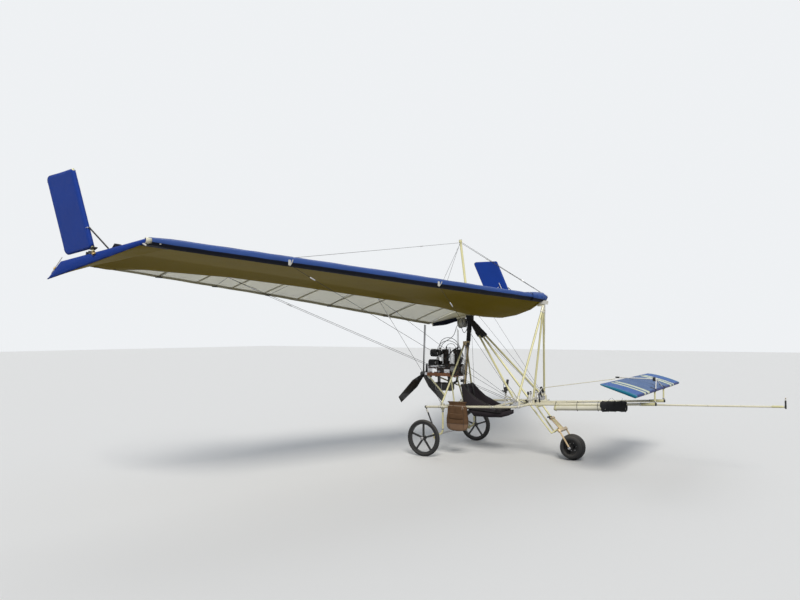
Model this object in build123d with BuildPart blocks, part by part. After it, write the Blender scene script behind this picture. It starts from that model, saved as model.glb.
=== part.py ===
from build123d import *
import os
from math import cos, radians, sin

os.makedirs("parts", exist_ok=True)

# Frame: millimetres, X forward to the nose pole, Y to port, Z up, ground at Z = 0.
# A station is a distance forward of the main axle. The origin sits MID ahead of the axle,
# under the middle of the overall length.
POLE_TIP = 4293.0
RUDDER_BACK_TOP = (-2036.0, 3268.0)
MID = (POLE_TIP + RUDDER_BACK_TOP[0]) / 2

# Named clearances: faces that rest, and pins that turn
SEAT_GAP = 0.3
RUN_GAP = 0.05

# Tubes
RAIL_D = 32.0
CROSS_D = 32.0
STRUT_D = 28.0
KEEL_D = 50.0
STUB_D = 34.0
FOAM_D = 54.0
POST_D = 25.0
LEG_D = 25.0
PYLON_D = 36.0
STAY_D = 3.0

# Wing half: station and height of the front and rear edge at each |y|
WING_ROOT_Y = KEEL_D / 2 + SEAT_GAP
WING_BREAK_Y = 2500.0
WING_END_Y = 4800.0
TIP_Y = 5030.0
APEX = (1461.0, 2158.0)
TIP_FRONT = (-388.0, 2497.0)
REAR_ROOT = (-370.0, 1803.0)
REAR_BREAK = (-1247.0, 2136.0)
REAR_END = (-1591.0, 2345.0)
REAR_TIP = (-1907.0, 2214.0)
TIP_CREST = (-1694.0, 2378.0)
NOSE_R = 42.0
CAMBER = 0.065
SKIN = 5.0
DOUBLE_SHARE = 0.60

# Frame points: station, y, z
HUB = (312.0, 0.0, 1880.0)
APEX_FOOT = (1425.0, 0.0, 2062.0)
KING_STATION = 297.0
KING_TOP = (164.0, 0.0, 3018.0)
KING_BALL = 48.0
RAIL_Y = 552.0
RAIL_REAR = (-118.0, 640.0)
RAIL_FRONT = (1278.0, 713.0)
REAR_CROSS_X = 130.0
PYLON_FOOT = (205.0, 0.0, 690.0)
BRACE_TOP_Z = 1530.0
SEAT_BAR_X = 905.0
FRONT_CROSS_X = 1262.0
CORNER_Y = 500.0
CORNER_TOP = 790.0

# Running gear
TRACK_Y = 813.0
AXLE_D = 25.0
PIN_D = 20.0
WHEEL_R = 248.0
TYRE_W = 50.0
NOSE_X = 1808.0
NOSE_WHEEL_R = 170.0
NOSE_W = 216.0
HEAD_TOP = (1530.0, 0.0, 530.0)
HEAD_LOW = (1668.0, 0.0, 392.0)

# Propeller, canard, rudders
PROP_X = -467.0
PROP_Z = 1058.0
PROP_R = 744.0
CANARD_Y = 1266.0
CANARD_FRONT = (2929.0, 975.0)
CANARD_REAR = (2519.0, 1097.0)
CANARD_NOSE_R = 16.0
POST_Y = 258.0
BOOM_REAR_Y = 200.0
BOOM_FRONT = (2928.0, 812.0)
BOOM_D = 32.0
RUDDER_Y = TIP_Y + 16.0
RUDDER_FOOT = (-1145.0, 2424.0)
RUDDER_TOP = (-1508.0, 3272.0)
RUDDER_BACK_LOW = (-1668.0, 2440.0)
TOE_IN = 6.0

# Engine
PLATE_Z = 1045.0
PLATE_T = 12.0
PLATE_X = (-344.7, 150.0)
PLATE_Y = 110.0

SIDES = (("starboard", -1), ("port", 1))


def at(station, y, z):
    """A point of the aircraft in the model's frame."""
    return Vector(station - MID, y, z)


def rail_z(station):
    """Height of the side rails at a station."""
    share = (station - RAIL_REAR[0]) / (RAIL_FRONT[0] - RAIL_REAR[0])
    return RAIL_REAR[1] + share * (RAIL_FRONT[1] - RAIL_REAR[1])


def keel_z(station):
    """Height of the keel's centre line at a station."""
    share = (APEX[0] - station) / (APEX[0] - REAR_ROOT[0])
    return APEX[1] + share * (REAR_ROOT[1] - APEX[1])


def rod(p, q, d):
    """A round bar from p to q."""
    with BuildPart() as bar:
        with BuildSketch(Plane(origin=p, z_dir=q - p)):
            Circle(d / 2)
        extrude(amount=(q - p).length)
    return bar.part


def bent_rod(points, d):
    """A round bar through the points, with round knees."""
    with BuildPart() as bar:
        for p, q in zip(points[:-1], points[1:]):
            add(rod(p, q, d))
        with Locations(*points[1:-1]):
            Sphere(d / 2)
    return bar.part


def between(p, q, a, b):
    """The span from p to q less a at the start and b at the end."""
    u = (q - p).normalized()
    return p + u * a, q - u * b


def box(x0, x1, y0, y1, z0, z1):
    """A plain block between the given stations, sides and heights."""
    with BuildPart() as block:
        with Locations(at((x0 + x1) / 2, (y0 + y1) / 2, (z0 + z1) / 2)):
            Box(abs(x1 - x0), abs(y1 - y0), abs(z1 - z0))
    return block.part


def group(pieces):
    """Pieces of one node that stand apart or touch."""
    with BuildPart() as whole:
        for piece in pieces:
            add(piece)
    return whole.part


def save(part, label):
    part.label = label
    export_step(part, "parts/" + label + ".step")
    print(label, len(part.solids()), "solids", round(part.volume / 1000), "cm3")


# Wing halves: a hollow sleeve, closed underneath over the front part only
def chord_frame(front, rear):
    """Length, backward unit vector and upward normal of a chord."""
    dx = rear[0] - front[0]
    dz = rear[1] - front[1]
    chord = (dx * dx + dz * dz) ** 0.5
    e = (dx / chord, dz / chord)
    return chord, e, (e[1], -e[0])


def on_chord(front, e, n):
    """Turns a place along and above the chord into sketch coordinates."""
    return lambda u, w: (front[0] - MID + e[0] * u + n[0] * w, front[1] + e[1] * u + n[1] * w)


def wing_sketch(front, rear, y, inset, nose):
    """One wing section, or the hollow inside it when inset is the skin's thickness."""
    chord, e, n = chord_frame(front, rear)
    p = on_chord(front, e, n)

    def top(u):
        return CAMBER * chord * (1 - ((u / chord - 0.40) / 0.60) ** 2) + SKIN

    share = DOUBLE_SHARE * chord
    with BuildSketch(Plane.XZ.offset(-y)) as section:
        with BuildLine():
            if inset:
                end = share - 12 * SKIN
                r = nose - inset
                ThreePointArc(p(nose, -r), p(nose - r, 0), p(nose, r))
                ThreePointArc(p(nose, r), p(end * 0.55, top(end * 0.55) - inset), p(end, top(end) - inset))
                Line(p(end, top(end) - inset), p(end, top(end) - 5 * SKIN))
                Line(p(end, top(end) - 5 * SKIN), p(nose, -r))
            else:
                mid = (share + chord) / 2
                ThreePointArc(p(nose, -nose), p(0, 0), p(nose, nose))
                ThreePointArc(p(nose, nose), p(chord * 0.45, top(chord * 0.45)), p(chord, 4.0))
                Line(p(chord, 4.0), p(chord, -4.0))
                ThreePointArc(p(chord, -4.0), p(mid, top(mid) - 11.0), p(share, top(share) - 22.0))
                Line(p(share, top(share) - 22.0), p(nose, -nose))
        make_face()
    return section.sketch


def edge_front(y):
    """Front edge of a wing half at y."""
    share = y / TIP_Y
    return (APEX[0] + share * (TIP_FRONT[0] - APEX[0]), APEX[1] + share * (TIP_FRONT[1] - APEX[1]))


def wing_half():
    """The port half."""
    stations = (
        (WING_ROOT_Y, REAR_ROOT, NOSE_R),
        (WING_BREAK_Y, REAR_BREAK, NOSE_R),
        (WING_END_Y, REAR_END, NOSE_R * 0.8),
    )
    shells = []
    for inset in (0.0, SKIN):
        with BuildPart() as shell:
            for inner, outer in zip(stations[:-1], stations[1:]):
                for y, r, nose in (inner, outer):
                    add(wing_sketch(edge_front(y), r, y, inset, nose))
                loft(ruled=True)
        shells.append(shell.part)
    with BuildPart() as half:
        add(shells[0])
        add(shells[1], mode=Mode.SUBTRACT)
    return half.part


port_wing = wing_half()
save(port_wing, "wing_port")
save(mirror(port_wing, about=Plane.XZ), "wing_starboard")

# Raked end panel of each half, with the lug that carries the rudder post
RUDDER_AXIS = Vector(RUDDER_TOP[0] - RUDDER_FOOT[0], 0, RUDDER_TOP[1] - RUDDER_FOOT[1])
LUG = 44.0


def tip_section(front, rear, y, half, crest):
    """One end of the tip panel: a rounded nose, a top through the crest points, a flat underside."""
    chord, e, n = chord_frame(front, rear)
    p = on_chord(front, e, n)
    with BuildSketch(Plane.XZ.offset(-y)) as section:
        with BuildLine():
            ThreePointArc(p(half, -half), p(0, 0), p(half, half))
            Polyline(p(half, half), *[p(u * chord, w) for u, w in crest], p(chord, 4))
            Line(p(chord, 4), p(chord, -4))
            Line(p(chord, -4), p(half, -half))
        make_face()
    return section.sketch


def tip_hollow(front, rear, y, first, crest):
    """The room inside one end of the tip panel."""
    chord, e, n = chord_frame(front, rear)
    p = on_chord(front, e, n)
    with BuildSketch(Plane.XZ.offset(-y)) as section:
        with BuildLine():
            Polyline(p(first * chord, -8), *[p(u * chord, w) for u, w in crest], p(crest[-1][0] * chord, -1), close=True)
        make_face()
    return section.sketch


def tip_panel():
    """The end of the wing: its sail drawn out to an upright end face under the rudder."""
    y0 = WING_END_Y + SEAT_GAP
    front = edge_front(y0)
    chord = chord_frame(front, REAR_END)[0]
    rib = [(u, CAMBER * chord * (1 - ((u - 0.40) / 0.60) ** 2) + SKIN) for u in (0.25, 0.55, 0.84)]
    length, e, n = chord_frame(TIP_FRONT, REAR_TIP)
    away = (TIP_CREST[0] - TIP_FRONT[0], TIP_CREST[1] - TIP_FRONT[1])
    crest = ((away[0] * e[0] + away[1] * e[1]) / length, away[0] * n[0] + away[1] * n[1])
    face = [(crest[0] * k, 16 + (crest[1] - 16) * k) for k in (0.3, 0.65, 1.0)]
    skin = SKIN + 2
    with BuildPart() as panel:
        add(tip_section(front, REAR_END, y0, 22.0, rib))
        add(tip_section(TIP_FRONT, REAR_TIP, TIP_Y, 16.0, face))
        loft(ruled=True)
    with BuildPart() as room:
        add(tip_hollow(front, REAR_END, y0 + 14, 0.25, [(u, w - skin) for u, w in rib]))
        add(tip_hollow(TIP_FRONT, REAR_TIP, TIP_Y - 10, 0.35, [(max(u, 0.35), w - 1.5 * skin) for u, w in face]))
        loft(ruled=True)
    foot = at(RUDDER_FOOT[0], RUDDER_Y, RUDDER_FOOT[1])
    with BuildPart() as lug:
        with BuildSketch(Plane(origin=foot, z_dir=RUDDER_AXIS.normalized())):
            Rectangle(LUG, LUG)
        extrude(amount=-60)
    with BuildPart() as whole:
        add(panel.part)
        add(room.part, mode=Mode.SUBTRACT)
        add(lug.part)
    return whole.part


port_tip = tip_panel()
save(port_tip, "tip_panel_port")
save(mirror(port_tip, about=Plane.XZ), "tip_panel_starboard")

# Keel, apex fitting, hub covers, kingpost
KEEL_FRONT = APEX[0] - 70
KEEL_REAR = REAR_ROOT[0] + 60
keel_front = at(KEEL_FRONT, 0, keel_z(KEEL_FRONT))
keel_rear = at(KEEL_REAR, 0, keel_z(KEEL_REAR))
save(rod(keel_rear, keel_front, KEEL_D), "keel_tube")
keel_bore = rod(keel_rear, keel_front, KEEL_D + 2 * SEAT_GAP)

with BuildPart() as pocket:
    top = KEEL_D / 2 + SEAT_GAP + 1
    with BuildSketch(Plane.XZ):
        with BuildLine():
            Polyline(
                (KEEL_REAR - MID, keel_z(KEEL_REAR) - top), (120 - MID, keel_z(120) - top),
                (110 - MID, keel_z(110) - top - 24), (55 - MID, keel_z(55) - top - 24),
                (-60 - MID, keel_z(-60) - top - 36), (-144 - MID, keel_z(-144) - top - 32),
                (KEEL_REAR - MID, keel_z(KEEL_REAR) - top - 12), close=True,
            )
        make_face()
    extrude(amount=4, both=True)
save(pocket.part, "keel_pocket")

APEX_STUB = 105.0
HUB_STUB = 330.0
PYLON_STUB = 180.0
FOOT_STUB = 45.0
corner_front = (FRONT_CROSS_X - 22, CORNER_TOP + 10)
corner_back = (FRONT_CROSS_X - 62, CORNER_TOP)
FEET = {
    "downtube_starboard": (APEX_FOOT, (corner_front[0], -CORNER_Y, corner_front[1]), APEX_STUB),
    "downtube_centre": (APEX_FOOT, (FRONT_CROSS_X, 0.0, 745.0), APEX_STUB),
    "downtube_port": (APEX_FOOT, (corner_front[0], CORNER_Y, corner_front[1]), APEX_STUB),
    "strut_starboard": (HUB, (corner_back[0], -CORNER_Y, corner_back[1]), HUB_STUB),
    "strut_centre": (HUB, (FRONT_CROSS_X - 34, 0.0, 745.0), HUB_STUB),
    "strut_port": (HUB, (corner_back[0], CORNER_Y, corner_back[1]), HUB_STUB),
    "pylon": (HUB, PYLON_FOOT, PYLON_STUB),
}


def top_stubs(point, d):
    """Stubs that point from a fitting along its struts."""
    stubs = []
    for top, foot, length in FEET.values():
        if top is point:
            a, b = between(at(*top), at(*foot), length, FOOT_STUB)
            stubs.append(rod(at(*top), a, d))
    return stubs


with BuildPart() as apex_fitting:
    add(box(KEEL_FRONT - 46, APEX_FOOT[0] + 5, -22, 22, APEX_FOOT[2] - 22, keel_z(KEEL_FRONT) - 12))
    add(keel_bore, mode=Mode.SUBTRACT)
    for stub in top_stubs(APEX_FOOT, STUB_D):
        add(stub)
save(apex_fitting.part, "apex_fitting")

SADDLE_Y = 32.0
with BuildPart() as hub:
    add(box(HUB[0] - 45, HUB[0] + 45, -SADDLE_Y, SADDLE_Y, HUB[2] - 40, keel_z(HUB[0]) - 5))
    add(keel_bore, mode=Mode.SUBTRACT)
    for stub in top_stubs(HUB, FOAM_D):
        add(stub)
save(hub.part, "hub_covers")

with BuildPart() as kingpost:
    king_z = keel_z(KING_STATION)
    add(box(KING_STATION - 32, KING_STATION + 32, -20, 20, king_z + 8, king_z + 58))
    add(keel_bore, mode=Mode.SUBTRACT)
    add(rod(at(KING_STATION, 0, king_z + 40), at(*KING_TOP), 34))
    with Locations(at(*KING_TOP)):
        Sphere(KING_BALL / 2)
save(kingpost.part, "kingpost")

# Three downtubes, three hub struts, and the pylon with the collar of the rear braces
for label, names in (
    ("downtubes", ("downtube_starboard", "downtube_centre", "downtube_port")),
    ("hub_struts", ("strut_starboard", "strut_centre", "strut_port")),
):
    tubes = []
    for name in names:
        top, foot, length = FEET[name]
        a, b = between(at(*top), at(*foot), length, FOOT_STUB)
        tubes.append(rod(a, b, STRUT_D))
    save(group(tubes), label)

pylon_low = at(*PYLON_FOOT)
pylon_u = (at(*HUB) - pylon_low).normalized()
brace_top = pylon_low + pylon_u * ((BRACE_TOP_Z - pylon_low.Z) / pylon_u.Z)
BRACE_STUB = 70.0
rear_z = rail_z(REAR_CROSS_X)
BRACKET = 40.0
BRACE_BACK = 15.0
BRACE_HEAD_X = 238.0
brace_foot = {s: at(REAR_CROSS_X - BRACE_BACK, s * CORNER_Y, rear_z + BRACKET) for side, s in SIDES}
brace_head = {s: at(BRACE_HEAD_X, s * 22, BRACE_TOP_Z) for side, s in SIDES}
with BuildPart() as pylon:
    a, b = between(at(*HUB), pylon_low, PYLON_STUB, FOOT_STUB)
    add(rod(a, b, PYLON_D))
    add(rod(brace_top - pylon_u * 30, brace_top + pylon_u * 30, 56))
    add(box(BRACE_HEAD_X - 20, brace_top.X + MID, -42, 42, BRACE_TOP_Z - 26, BRACE_TOP_Z + 26))
    for side, s in SIDES:
        add(rod(brace_head[s], brace_head[s] + (brace_foot[s] - brace_head[s]).normalized() * BRACE_STUB, 30))
save(pylon.part, "pylon")

# Side rails, cross tubes and their brackets
save(
    group(
        rod(at(RAIL_REAR[0], s * RAIL_Y, RAIL_REAR[1]), at(RAIL_FRONT[0], s * RAIL_Y, RAIL_FRONT[1]), RAIL_D)
        for side, s in SIDES
    ),
    "side_rails",
)
INNER_Y = RAIL_Y - RAIL_D / 2 - SEAT_GAP


def foot_stubs(cross_x):
    """Stubs of the struts that stand near a cross tube."""
    stubs = []
    for top, foot, length in FEET.values():
        if abs(foot[0] - cross_x) < 100:
            a, b = between(at(*top), at(*foot), length, FOOT_STUB)
            stubs.append(rod(b, at(*foot) + (at(*foot) - b).normalized() * 14, STUB_D))
    return stubs


front_z = rail_z(FRONT_CROSS_X)
BOOM_STUB = 45.0
POLE_D = 22.0
pole_root = at(FRONT_CROSS_X, 0, front_z + 8)
pole_tip = at(POLE_TIP - 16, 0, 833)
pole_u = (pole_tip - pole_root).normalized()


def boom_line(s):
    """Centre line of a canard boom, from the front cross tube to its front end."""
    return at(FRONT_CROSS_X, s * BOOM_REAR_Y, front_z + 4), at(BOOM_FRONT[0], s * POST_Y, BOOM_FRONT[1])


with BuildPart() as front_cross:
    add(rod(at(FRONT_CROSS_X, -INNER_Y, front_z), at(FRONT_CROSS_X, INNER_Y, front_z), CROSS_D))
    for y, top in ((-CORNER_Y, CORNER_TOP), (0.0, CORNER_TOP - 35), (CORNER_Y, CORNER_TOP)):
        add(box(FRONT_CROSS_X - 75, FRONT_CROSS_X + 12, y - 12, y + 12, front_z - 14, top))
    for stub in foot_stubs(FRONT_CROSS_X):
        add(stub)
    for s in (-1, 1):
        a, b = boom_line(s)
        add(rod(a, a + (b - a).normalized() * BOOM_STUB, 40))
    add(rod(pole_root, pole_root + pole_u * BOOM_STUB, POLE_D + 8))
save(front_cross.part, "front_cross_tube")

with BuildPart() as rear_cross:
    add(rod(at(REAR_CROSS_X, -INNER_Y, rear_z), at(REAR_CROSS_X, INNER_Y, rear_z), CROSS_D))
    for stub in foot_stubs(REAR_CROSS_X):
        add(stub)
    add(box(REAR_CROSS_X, PYLON_FOOT[0] + 18, -20, 20, rear_z - 12, PYLON_FOOT[2] + 2))
    for s in (-1, 1):
        y = s * CORNER_Y
        add(box(REAR_CROSS_X - BRACE_BACK - 16, REAR_CROSS_X + 20, y - 20, y + 20, rear_z - 14, rear_z + BRACKET))
        add(box(REAR_CROSS_X - 20, REAR_CROSS_X + 20, y - 20, y + 20, rear_z - BRACKET, rear_z))
save(rear_cross.part, "rear_cross_tube")

bar_z = rail_z(SEAT_BAR_X)
BAR_D = 25.0
CENTRE_D = 30.0
centre_a = at(SEAT_BAR_X + BAR_D / 2 + SEAT_GAP, 0, bar_z)
centre_b = at(FRONT_CROSS_X - 75 - SEAT_GAP - 1.2, 0, rail_z(FRONT_CROSS_X - 75))
save(
    group(
        (
            rod(at(SEAT_BAR_X, -INNER_Y, bar_z), at(SEAT_BAR_X, INNER_Y, bar_z), BAR_D),
            rod(centre_a + Vector(CENTRE_D / 16, 0, 0), centre_b, CENTRE_D),
        )
    ),
    "seat_bar",
)

# Rear braces from the engine mast to the rear corners, each with its engine bed strut
KNOT_Z = 802.0
BED_Y = 88.0
BED_REAR_X = -330.0
BED_FRONT_X = 40.0
braces = []
for side, s in SIDES:
    a, b = between(brace_head[s], brace_foot[s], BRACE_STUB, 13)
    out = (b - a).normalized()
    knot = a + out * ((KNOT_Z - a.Z) / out.Z)
    bed = at(BED_REAR_X, s * BED_Y, PLATE_Z)
    with BuildPart() as brace:
        add(rod(a, b, LEG_D))
        add(rod(knot, bed + (bed - knot).normalized() * 40, 22))
        add(rod(at(REAR_CROSS_X, s * 150, rear_z + 15), at(BED_FRONT_X, s * BED_Y, PLATE_Z + 20), 20))
        add(rod(at(REAR_CROSS_X, s * 300, rear_z), at(REAR_CROSS_X, s * 60, rear_z), CROSS_D + 2 * SEAT_GAP),
            mode=Mode.SUBTRACT)
        add(box(-420, 215, s * BED_Y - 60, s * BED_Y + 60, PLATE_Z, PLATE_Z + 90), mode=Mode.SUBTRACT)
    braces.append(brace.part)
save(group(braces), "rear_braces")

# Main gear legs with a tie-down lug under each foot, drag struts and axle
FOOT_Y = 16.0
TIE_Z = 212.0
TIE_D = 10.0
TIE_T = 12.0
legs = []
drags = []
for side, s in SIDES:
    y = s * CORNER_Y
    top = at(REAR_CROSS_X, y, rear_z - BRACKET - SEAT_GAP)
    with BuildPart() as leg:
        add(bent_rod((top, at(REAR_CROSS_X, y, 330), at(110, y, 282), at(50, y, WHEEL_R)), LEG_D))
        add(box(-26, 60, y - FOOT_Y, y + FOOT_Y, WHEEL_R - 22, WHEEL_R + 22))
        add(box(-TIE_T / 2, TIE_T / 2, y - FOOT_Y, y + FOOT_Y, TIE_Z - FOOT_Y, WHEEL_R - 20))
        add(rod(at(-TIE_T, y, TIE_Z), at(TIE_T, y, TIE_Z), TIE_D), mode=Mode.SUBTRACT)
        add(rod(at(0, y - 40, WHEEL_R), at(0, y + 40, WHEEL_R), AXLE_D + 2 * SEAT_GAP), mode=Mode.SUBTRACT)
    legs.append(leg.part)
    top = at(-100.0, s * RAIL_Y, rail_z(-100.0) - RAIL_D / 2 - SEAT_GAP - 10)
    low = at(40.0, s * (CORNER_Y + FOOT_Y + 11 + SEAT_GAP), WHEEL_R + 6)
    with BuildPart() as drag:
        add(rod(top, low, 20))
        add(box(28, 52, low.Y - 11, low.Y + 11, WHEEL_R - 8, WHEEL_R + 22))
        with Locations(top):
            Sphere(10)
    drags.append(drag.part)
save(group(legs), "gear_legs")
save(group(drags), "drag_struts")

RIM_HUB_HALF = TYRE_W * 0.72
with BuildPart() as axle:
    inner = TRACK_Y - RIM_HUB_HALF - 2
    outer = TRACK_Y + RIM_HUB_HALF
    add(rod(at(0, -inner, WHEEL_R), at(0, inner, WHEEL_R), AXLE_D))
    add(rod(at(0, -outer - 5, WHEEL_R), at(0, outer + 5, WHEEL_R), PIN_D))
    for s in (-1, 1):
        add(rod(at(0, s * (outer + 2), WHEEL_R), at(0, s * (outer + 10), WHEEL_R), 34))
save(axle.part, "main_axle")


# Wheels
def wheel_rim(radius, width, bore, spokes, hub_d, ring):
    """Rim on the Y axis, centred on the origin: hub, spokes or a closed disc, and ring."""
    with BuildPart() as rim:
        with BuildSketch(Plane.XZ):
            Circle(hub_d / 2)
        extrude(amount=width * 0.72, both=True)
        with BuildSketch(Plane.XZ):
            Circle(radius)
            Circle(radius - ring, mode=Mode.SUBTRACT)
        extrude(amount=width * 0.4, both=True)
        with BuildSketch(Plane.XZ):
            if spokes:
                with PolarLocations(0, spokes):
                    with Locations((0, (radius - ring / 2) / 2)):
                        Rectangle(24, radius - ring / 2)
            else:
                Circle(radius - ring / 2)
        extrude(amount=9, both=True)
        with BuildSketch(Plane.XZ):
            Circle(bore / 2)
        extrude(amount=width * 2, both=True, mode=Mode.SUBTRACT)
    return rim.part


def tyre(outer, inner, width):
    """Tyre on the Y axis, centred on the origin."""
    half = width / 2
    shoulder = outer - half * 0.3
    middle = (inner + outer) / 2 + 2
    with BuildPart() as ring:
        with BuildSketch(Plane.YZ):
            with BuildLine():
                Line((-half * 0.7, inner), (half * 0.7, inner))
                ThreePointArc((half * 0.7, inner), (half, middle), (half * 0.6, shoulder))
                ThreePointArc((half * 0.6, shoulder), (0, outer), (-half * 0.6, shoulder))
                ThreePointArc((-half * 0.6, shoulder), (-half, middle), (-half * 0.7, inner))
            make_face()
        revolve(axis=Axis.Y)
    return ring.part


TYRE_DEPTH = 44.0
NOSE_RIM_R = 90.0
main_rim = wheel_rim(WHEEL_R - TYRE_DEPTH, TYRE_W, PIN_D + 2 * RUN_GAP, 5, 60, 16)
main_tyre = tyre(WHEEL_R, WHEEL_R - TYRE_DEPTH + RUN_GAP, TYRE_W)
for side, s in SIDES:
    place = Location(at(0, s * TRACK_Y, WHEEL_R))
    save(main_rim.moved(place), "wheel_rim_" + side)
    save(main_tyre.moved(place), "wheel_tyre_" + side)
place = Location(at(NOSE_X, 0, NOSE_WHEEL_R))
save(wheel_rim(NOSE_RIM_R, NOSE_W * 0.7, PIN_D + 2 * RUN_GAP, 0, 56, 12).moved(place), "nose_rim")
save(tyre(NOSE_WHEEL_R, NOSE_RIM_R + RUN_GAP, NOSE_W).moved(place), "nose_tyre")

# Nose leg: a bar under the booms, a strut that ends as the steering spindle, two bent stays
SPINDLE_D = 24.0
TWIN_Y = 50.0
FORK_Y = 134.0
NOSE_BAR_X = 1400.0
head_top = at(*HEAD_TOP)
head_low = at(*HEAD_LOW)
head_u = (head_low - head_top).normalized()
side_u = Vector(0, 1, 0)
boom_a, boom_b = boom_line(1)
bar_share = (NOSE_BAR_X - FRONT_CROSS_X) / (BOOM_FRONT[0] - FRONT_CROSS_X)
nose_bar = at(NOSE_BAR_X, 0, boom_a.Z + bar_share * (boom_b.Z - boom_a.Z) - (BOOM_D + LEG_D) / 2 - SEAT_GAP)
with BuildPart() as nose_leg:
    add(rod(nose_bar - side_u * 222, nose_bar + side_u * 222, LEG_D))
    add(bent_rod((nose_bar, head_top - head_u * 42, head_low + head_u * 12), SPINDLE_D))
    for s in (-1, 1):
        a = at(FRONT_CROSS_X + 4, s * 90, front_z - CROSS_D / 2 - SEAT_GAP - 11)
        b = at(1540, s * 60, 338)
        add(bent_rod((a, b, head_low - head_u * 34), 20))
        with Locations(a):
            Sphere(11)
save(nose_leg.part, "nose_leg")

wheel_c = at(NOSE_X, 0, NOSE_WHEEL_R)
with BuildPart() as fork:
    crown = head_low + head_u * 16
    for centre, drop, wide in ((head_top, 12, TWIN_Y), (head_low, 24, FORK_Y)):
        with BuildSketch(Plane(origin=centre - head_u * 12, x_dir=side_u, z_dir=head_u)):
            SlotOverall(2 * wide + 44, 44)
        extrude(amount=12 + drop)
    for s in (-1, 1):
        add(rod(head_top + side_u * (s * TWIN_Y), head_low + side_u * (s * TWIN_Y), 22))
        add(rod(crown + side_u * (s * FORK_Y), wheel_c + side_u * (s * FORK_Y), 22))
        with Locations(wheel_c + side_u * (s * FORK_Y)):
            Sphere(16)
    add(rod(wheel_c - side_u * FORK_Y, wheel_c + side_u * FORK_Y, PIN_D))
    add(rod(head_top - head_u * 20, head_low + head_u * 12.5, SPINDLE_D + 2 * RUN_GAP), mode=Mode.SUBTRACT)
save(fork.part, "nose_fork")

# Canard booms, and at their front ends the sleeves with the posts that carry the canard
chord, e, n = chord_frame(CANARD_FRONT, CANARD_REAR)
canard_at = on_chord(CANARD_FRONT, e, n)
pin_x, pin_z = canard_at(CANARD_NOSE_R, 0)
SLEEVE_D = 38.0
SLEEVE_L = 190.0
EYE_W = 16.0
CANARD_PIN_D = 20.0
booms = []
posts = []
for side, s in SIDES:
    a, b = boom_line(s)
    u = (b - a).normalized()
    booms.append(rod(a + u * BOOM_STUB, b - u * SLEEVE_L, BOOM_D))
    pin = Vector(pin_x, s * POST_Y, pin_z)
    with BuildPart() as post:
        add(rod(b - u * SLEEVE_L, b, SLEEVE_D))
        add(rod(Vector(pin_x, s * POST_Y, BOOM_FRONT[1]), pin, 20))
        add(rod(pin - side_u * (EYE_W / 2), pin + side_u * (EYE_W / 2), 36))
        add(rod(pin - side_u * EYE_W, pin + side_u * EYE_W, CANARD_PIN_D + 2 * RUN_GAP), mode=Mode.SUBTRACT)
    posts.append(post.part)
save(group(booms), "canard_booms")
save(group(posts), "canard_posts")

with BuildPart() as canard:
    r = CANARD_NOSE_R
    with BuildSketch(Plane.XZ):
        with BuildLine():
            ThreePointArc(canard_at(r, -r), canard_at(0, 0), canard_at(r, r))
            ThreePointArc(canard_at(r, r), canard_at(chord * 0.3, r + 5), canard_at(chord, 4))
            Line(canard_at(chord, 4), canard_at(chord, -3))
            Line(canard_at(chord, -3), canard_at(r, -r))
        make_face()
    extrude(amount=CANARD_Y, both=True)
    for s in (-1, 1):
        y = s * POST_Y
        with Locations(Vector(pin_x, y, pin_z)):
            Box(68, EYE_W * 2, 120, mode=Mode.SUBTRACT)
        add(rod(Vector(pin_x, y - 30, pin_z), Vector(pin_x, y + 30, pin_z), CANARD_PIN_D))
    # Control horn: a tube over the middle on two short struts
    horn_z = CANARD_REAR[1] + 9
    add(rod(at(CANARD_REAR[0] - 139, 0, horn_z), at(CANARD_FRONT[0] - 9, 0, horn_z - 8), 16))
    for s in (-1, 1):
        add(rod(at(CANARD_FRONT[0] - 45, 0, horn_z - 8), Vector(pin_x, s * (POST_Y - 43), pin_z), 13))
save(canard.part, "canard")

# Nose pole with its instrument
save(rod(pole_root + pole_u * BOOM_STUB, pole_tip - pole_u * 0.9, POLE_D), "nose_pole")
with BuildPart() as probe:
    add(box(POLE_TIP - 16, POLE_TIP, -14, 14, 812, 905))
    add(rod(at(POLE_TIP - 8, 0, 900), at(POLE_TIP - 8, 0, 935), 12))
save(probe.part, "pole_instrument")

# Stowage tube strapped under the starboard boom
STOW_D = 62.0
boom_a, boom_b = boom_line(-1)
boom_u = (boom_b - boom_a).normalized()
stow_a = boom_a + boom_u * 375 - Vector(0, 0, ((BOOM_D + STOW_D) / 2 + SEAT_GAP) / boom_u.X)
STOW_L = 935.0
save(rod(stow_a, stow_a + boom_u * STOW_L, STOW_D), "stowage_tube")

# Propeller, with the six holes a spinner plate bolts to
PROP_HUB_D = 90.0
PROP_HUB_T = 60.0
SPINNER_PCD = 66.0
SPINNER_HOLE = 6.4
PARKED = 4.0
hub_c = at(PROP_X, 0, PROP_Z)
hub_rear = hub_c - Vector(PROP_HUB_T / 2, 0, 0)
with BuildPart() as prop:
    add(rod(hub_rear, hub_c + Vector(PROP_HUB_T / 2, 0, 0), PROP_HUB_D))
    for k in range(3):
        turn = radians(120 * k + PARKED)
        out = Vector(0, sin(turn), cos(turn))
        flat = Vector(0, cos(turn), -sin(turn))
        for share, wide, thick, twist in ((0.04, 50, 26, -40), (0.38, 125, 15, -24), (1.0, 92, 7, -14)):
            t = radians(twist)
            x_dir = flat * cos(t) + Vector(1, 0, 0) * sin(t)
            with BuildSketch(Plane(origin=hub_c + out * (PROP_R * share), x_dir=x_dir, z_dir=out)):
                RectangleRounded(wide, thick, thick * 0.45)
        loft(ruled=True)
    with BuildSketch(Plane(origin=hub_rear, x_dir=(0, 1, 0), z_dir=(1, 0, 0))):
        with PolarLocations(SPINNER_PCD / 2, 6):
            Circle(SPINNER_HOLE / 2)
    extrude(amount=PROP_HUB_T / 3, mode=Mode.SUBTRACT)
save(prop.part, "propeller")

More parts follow.
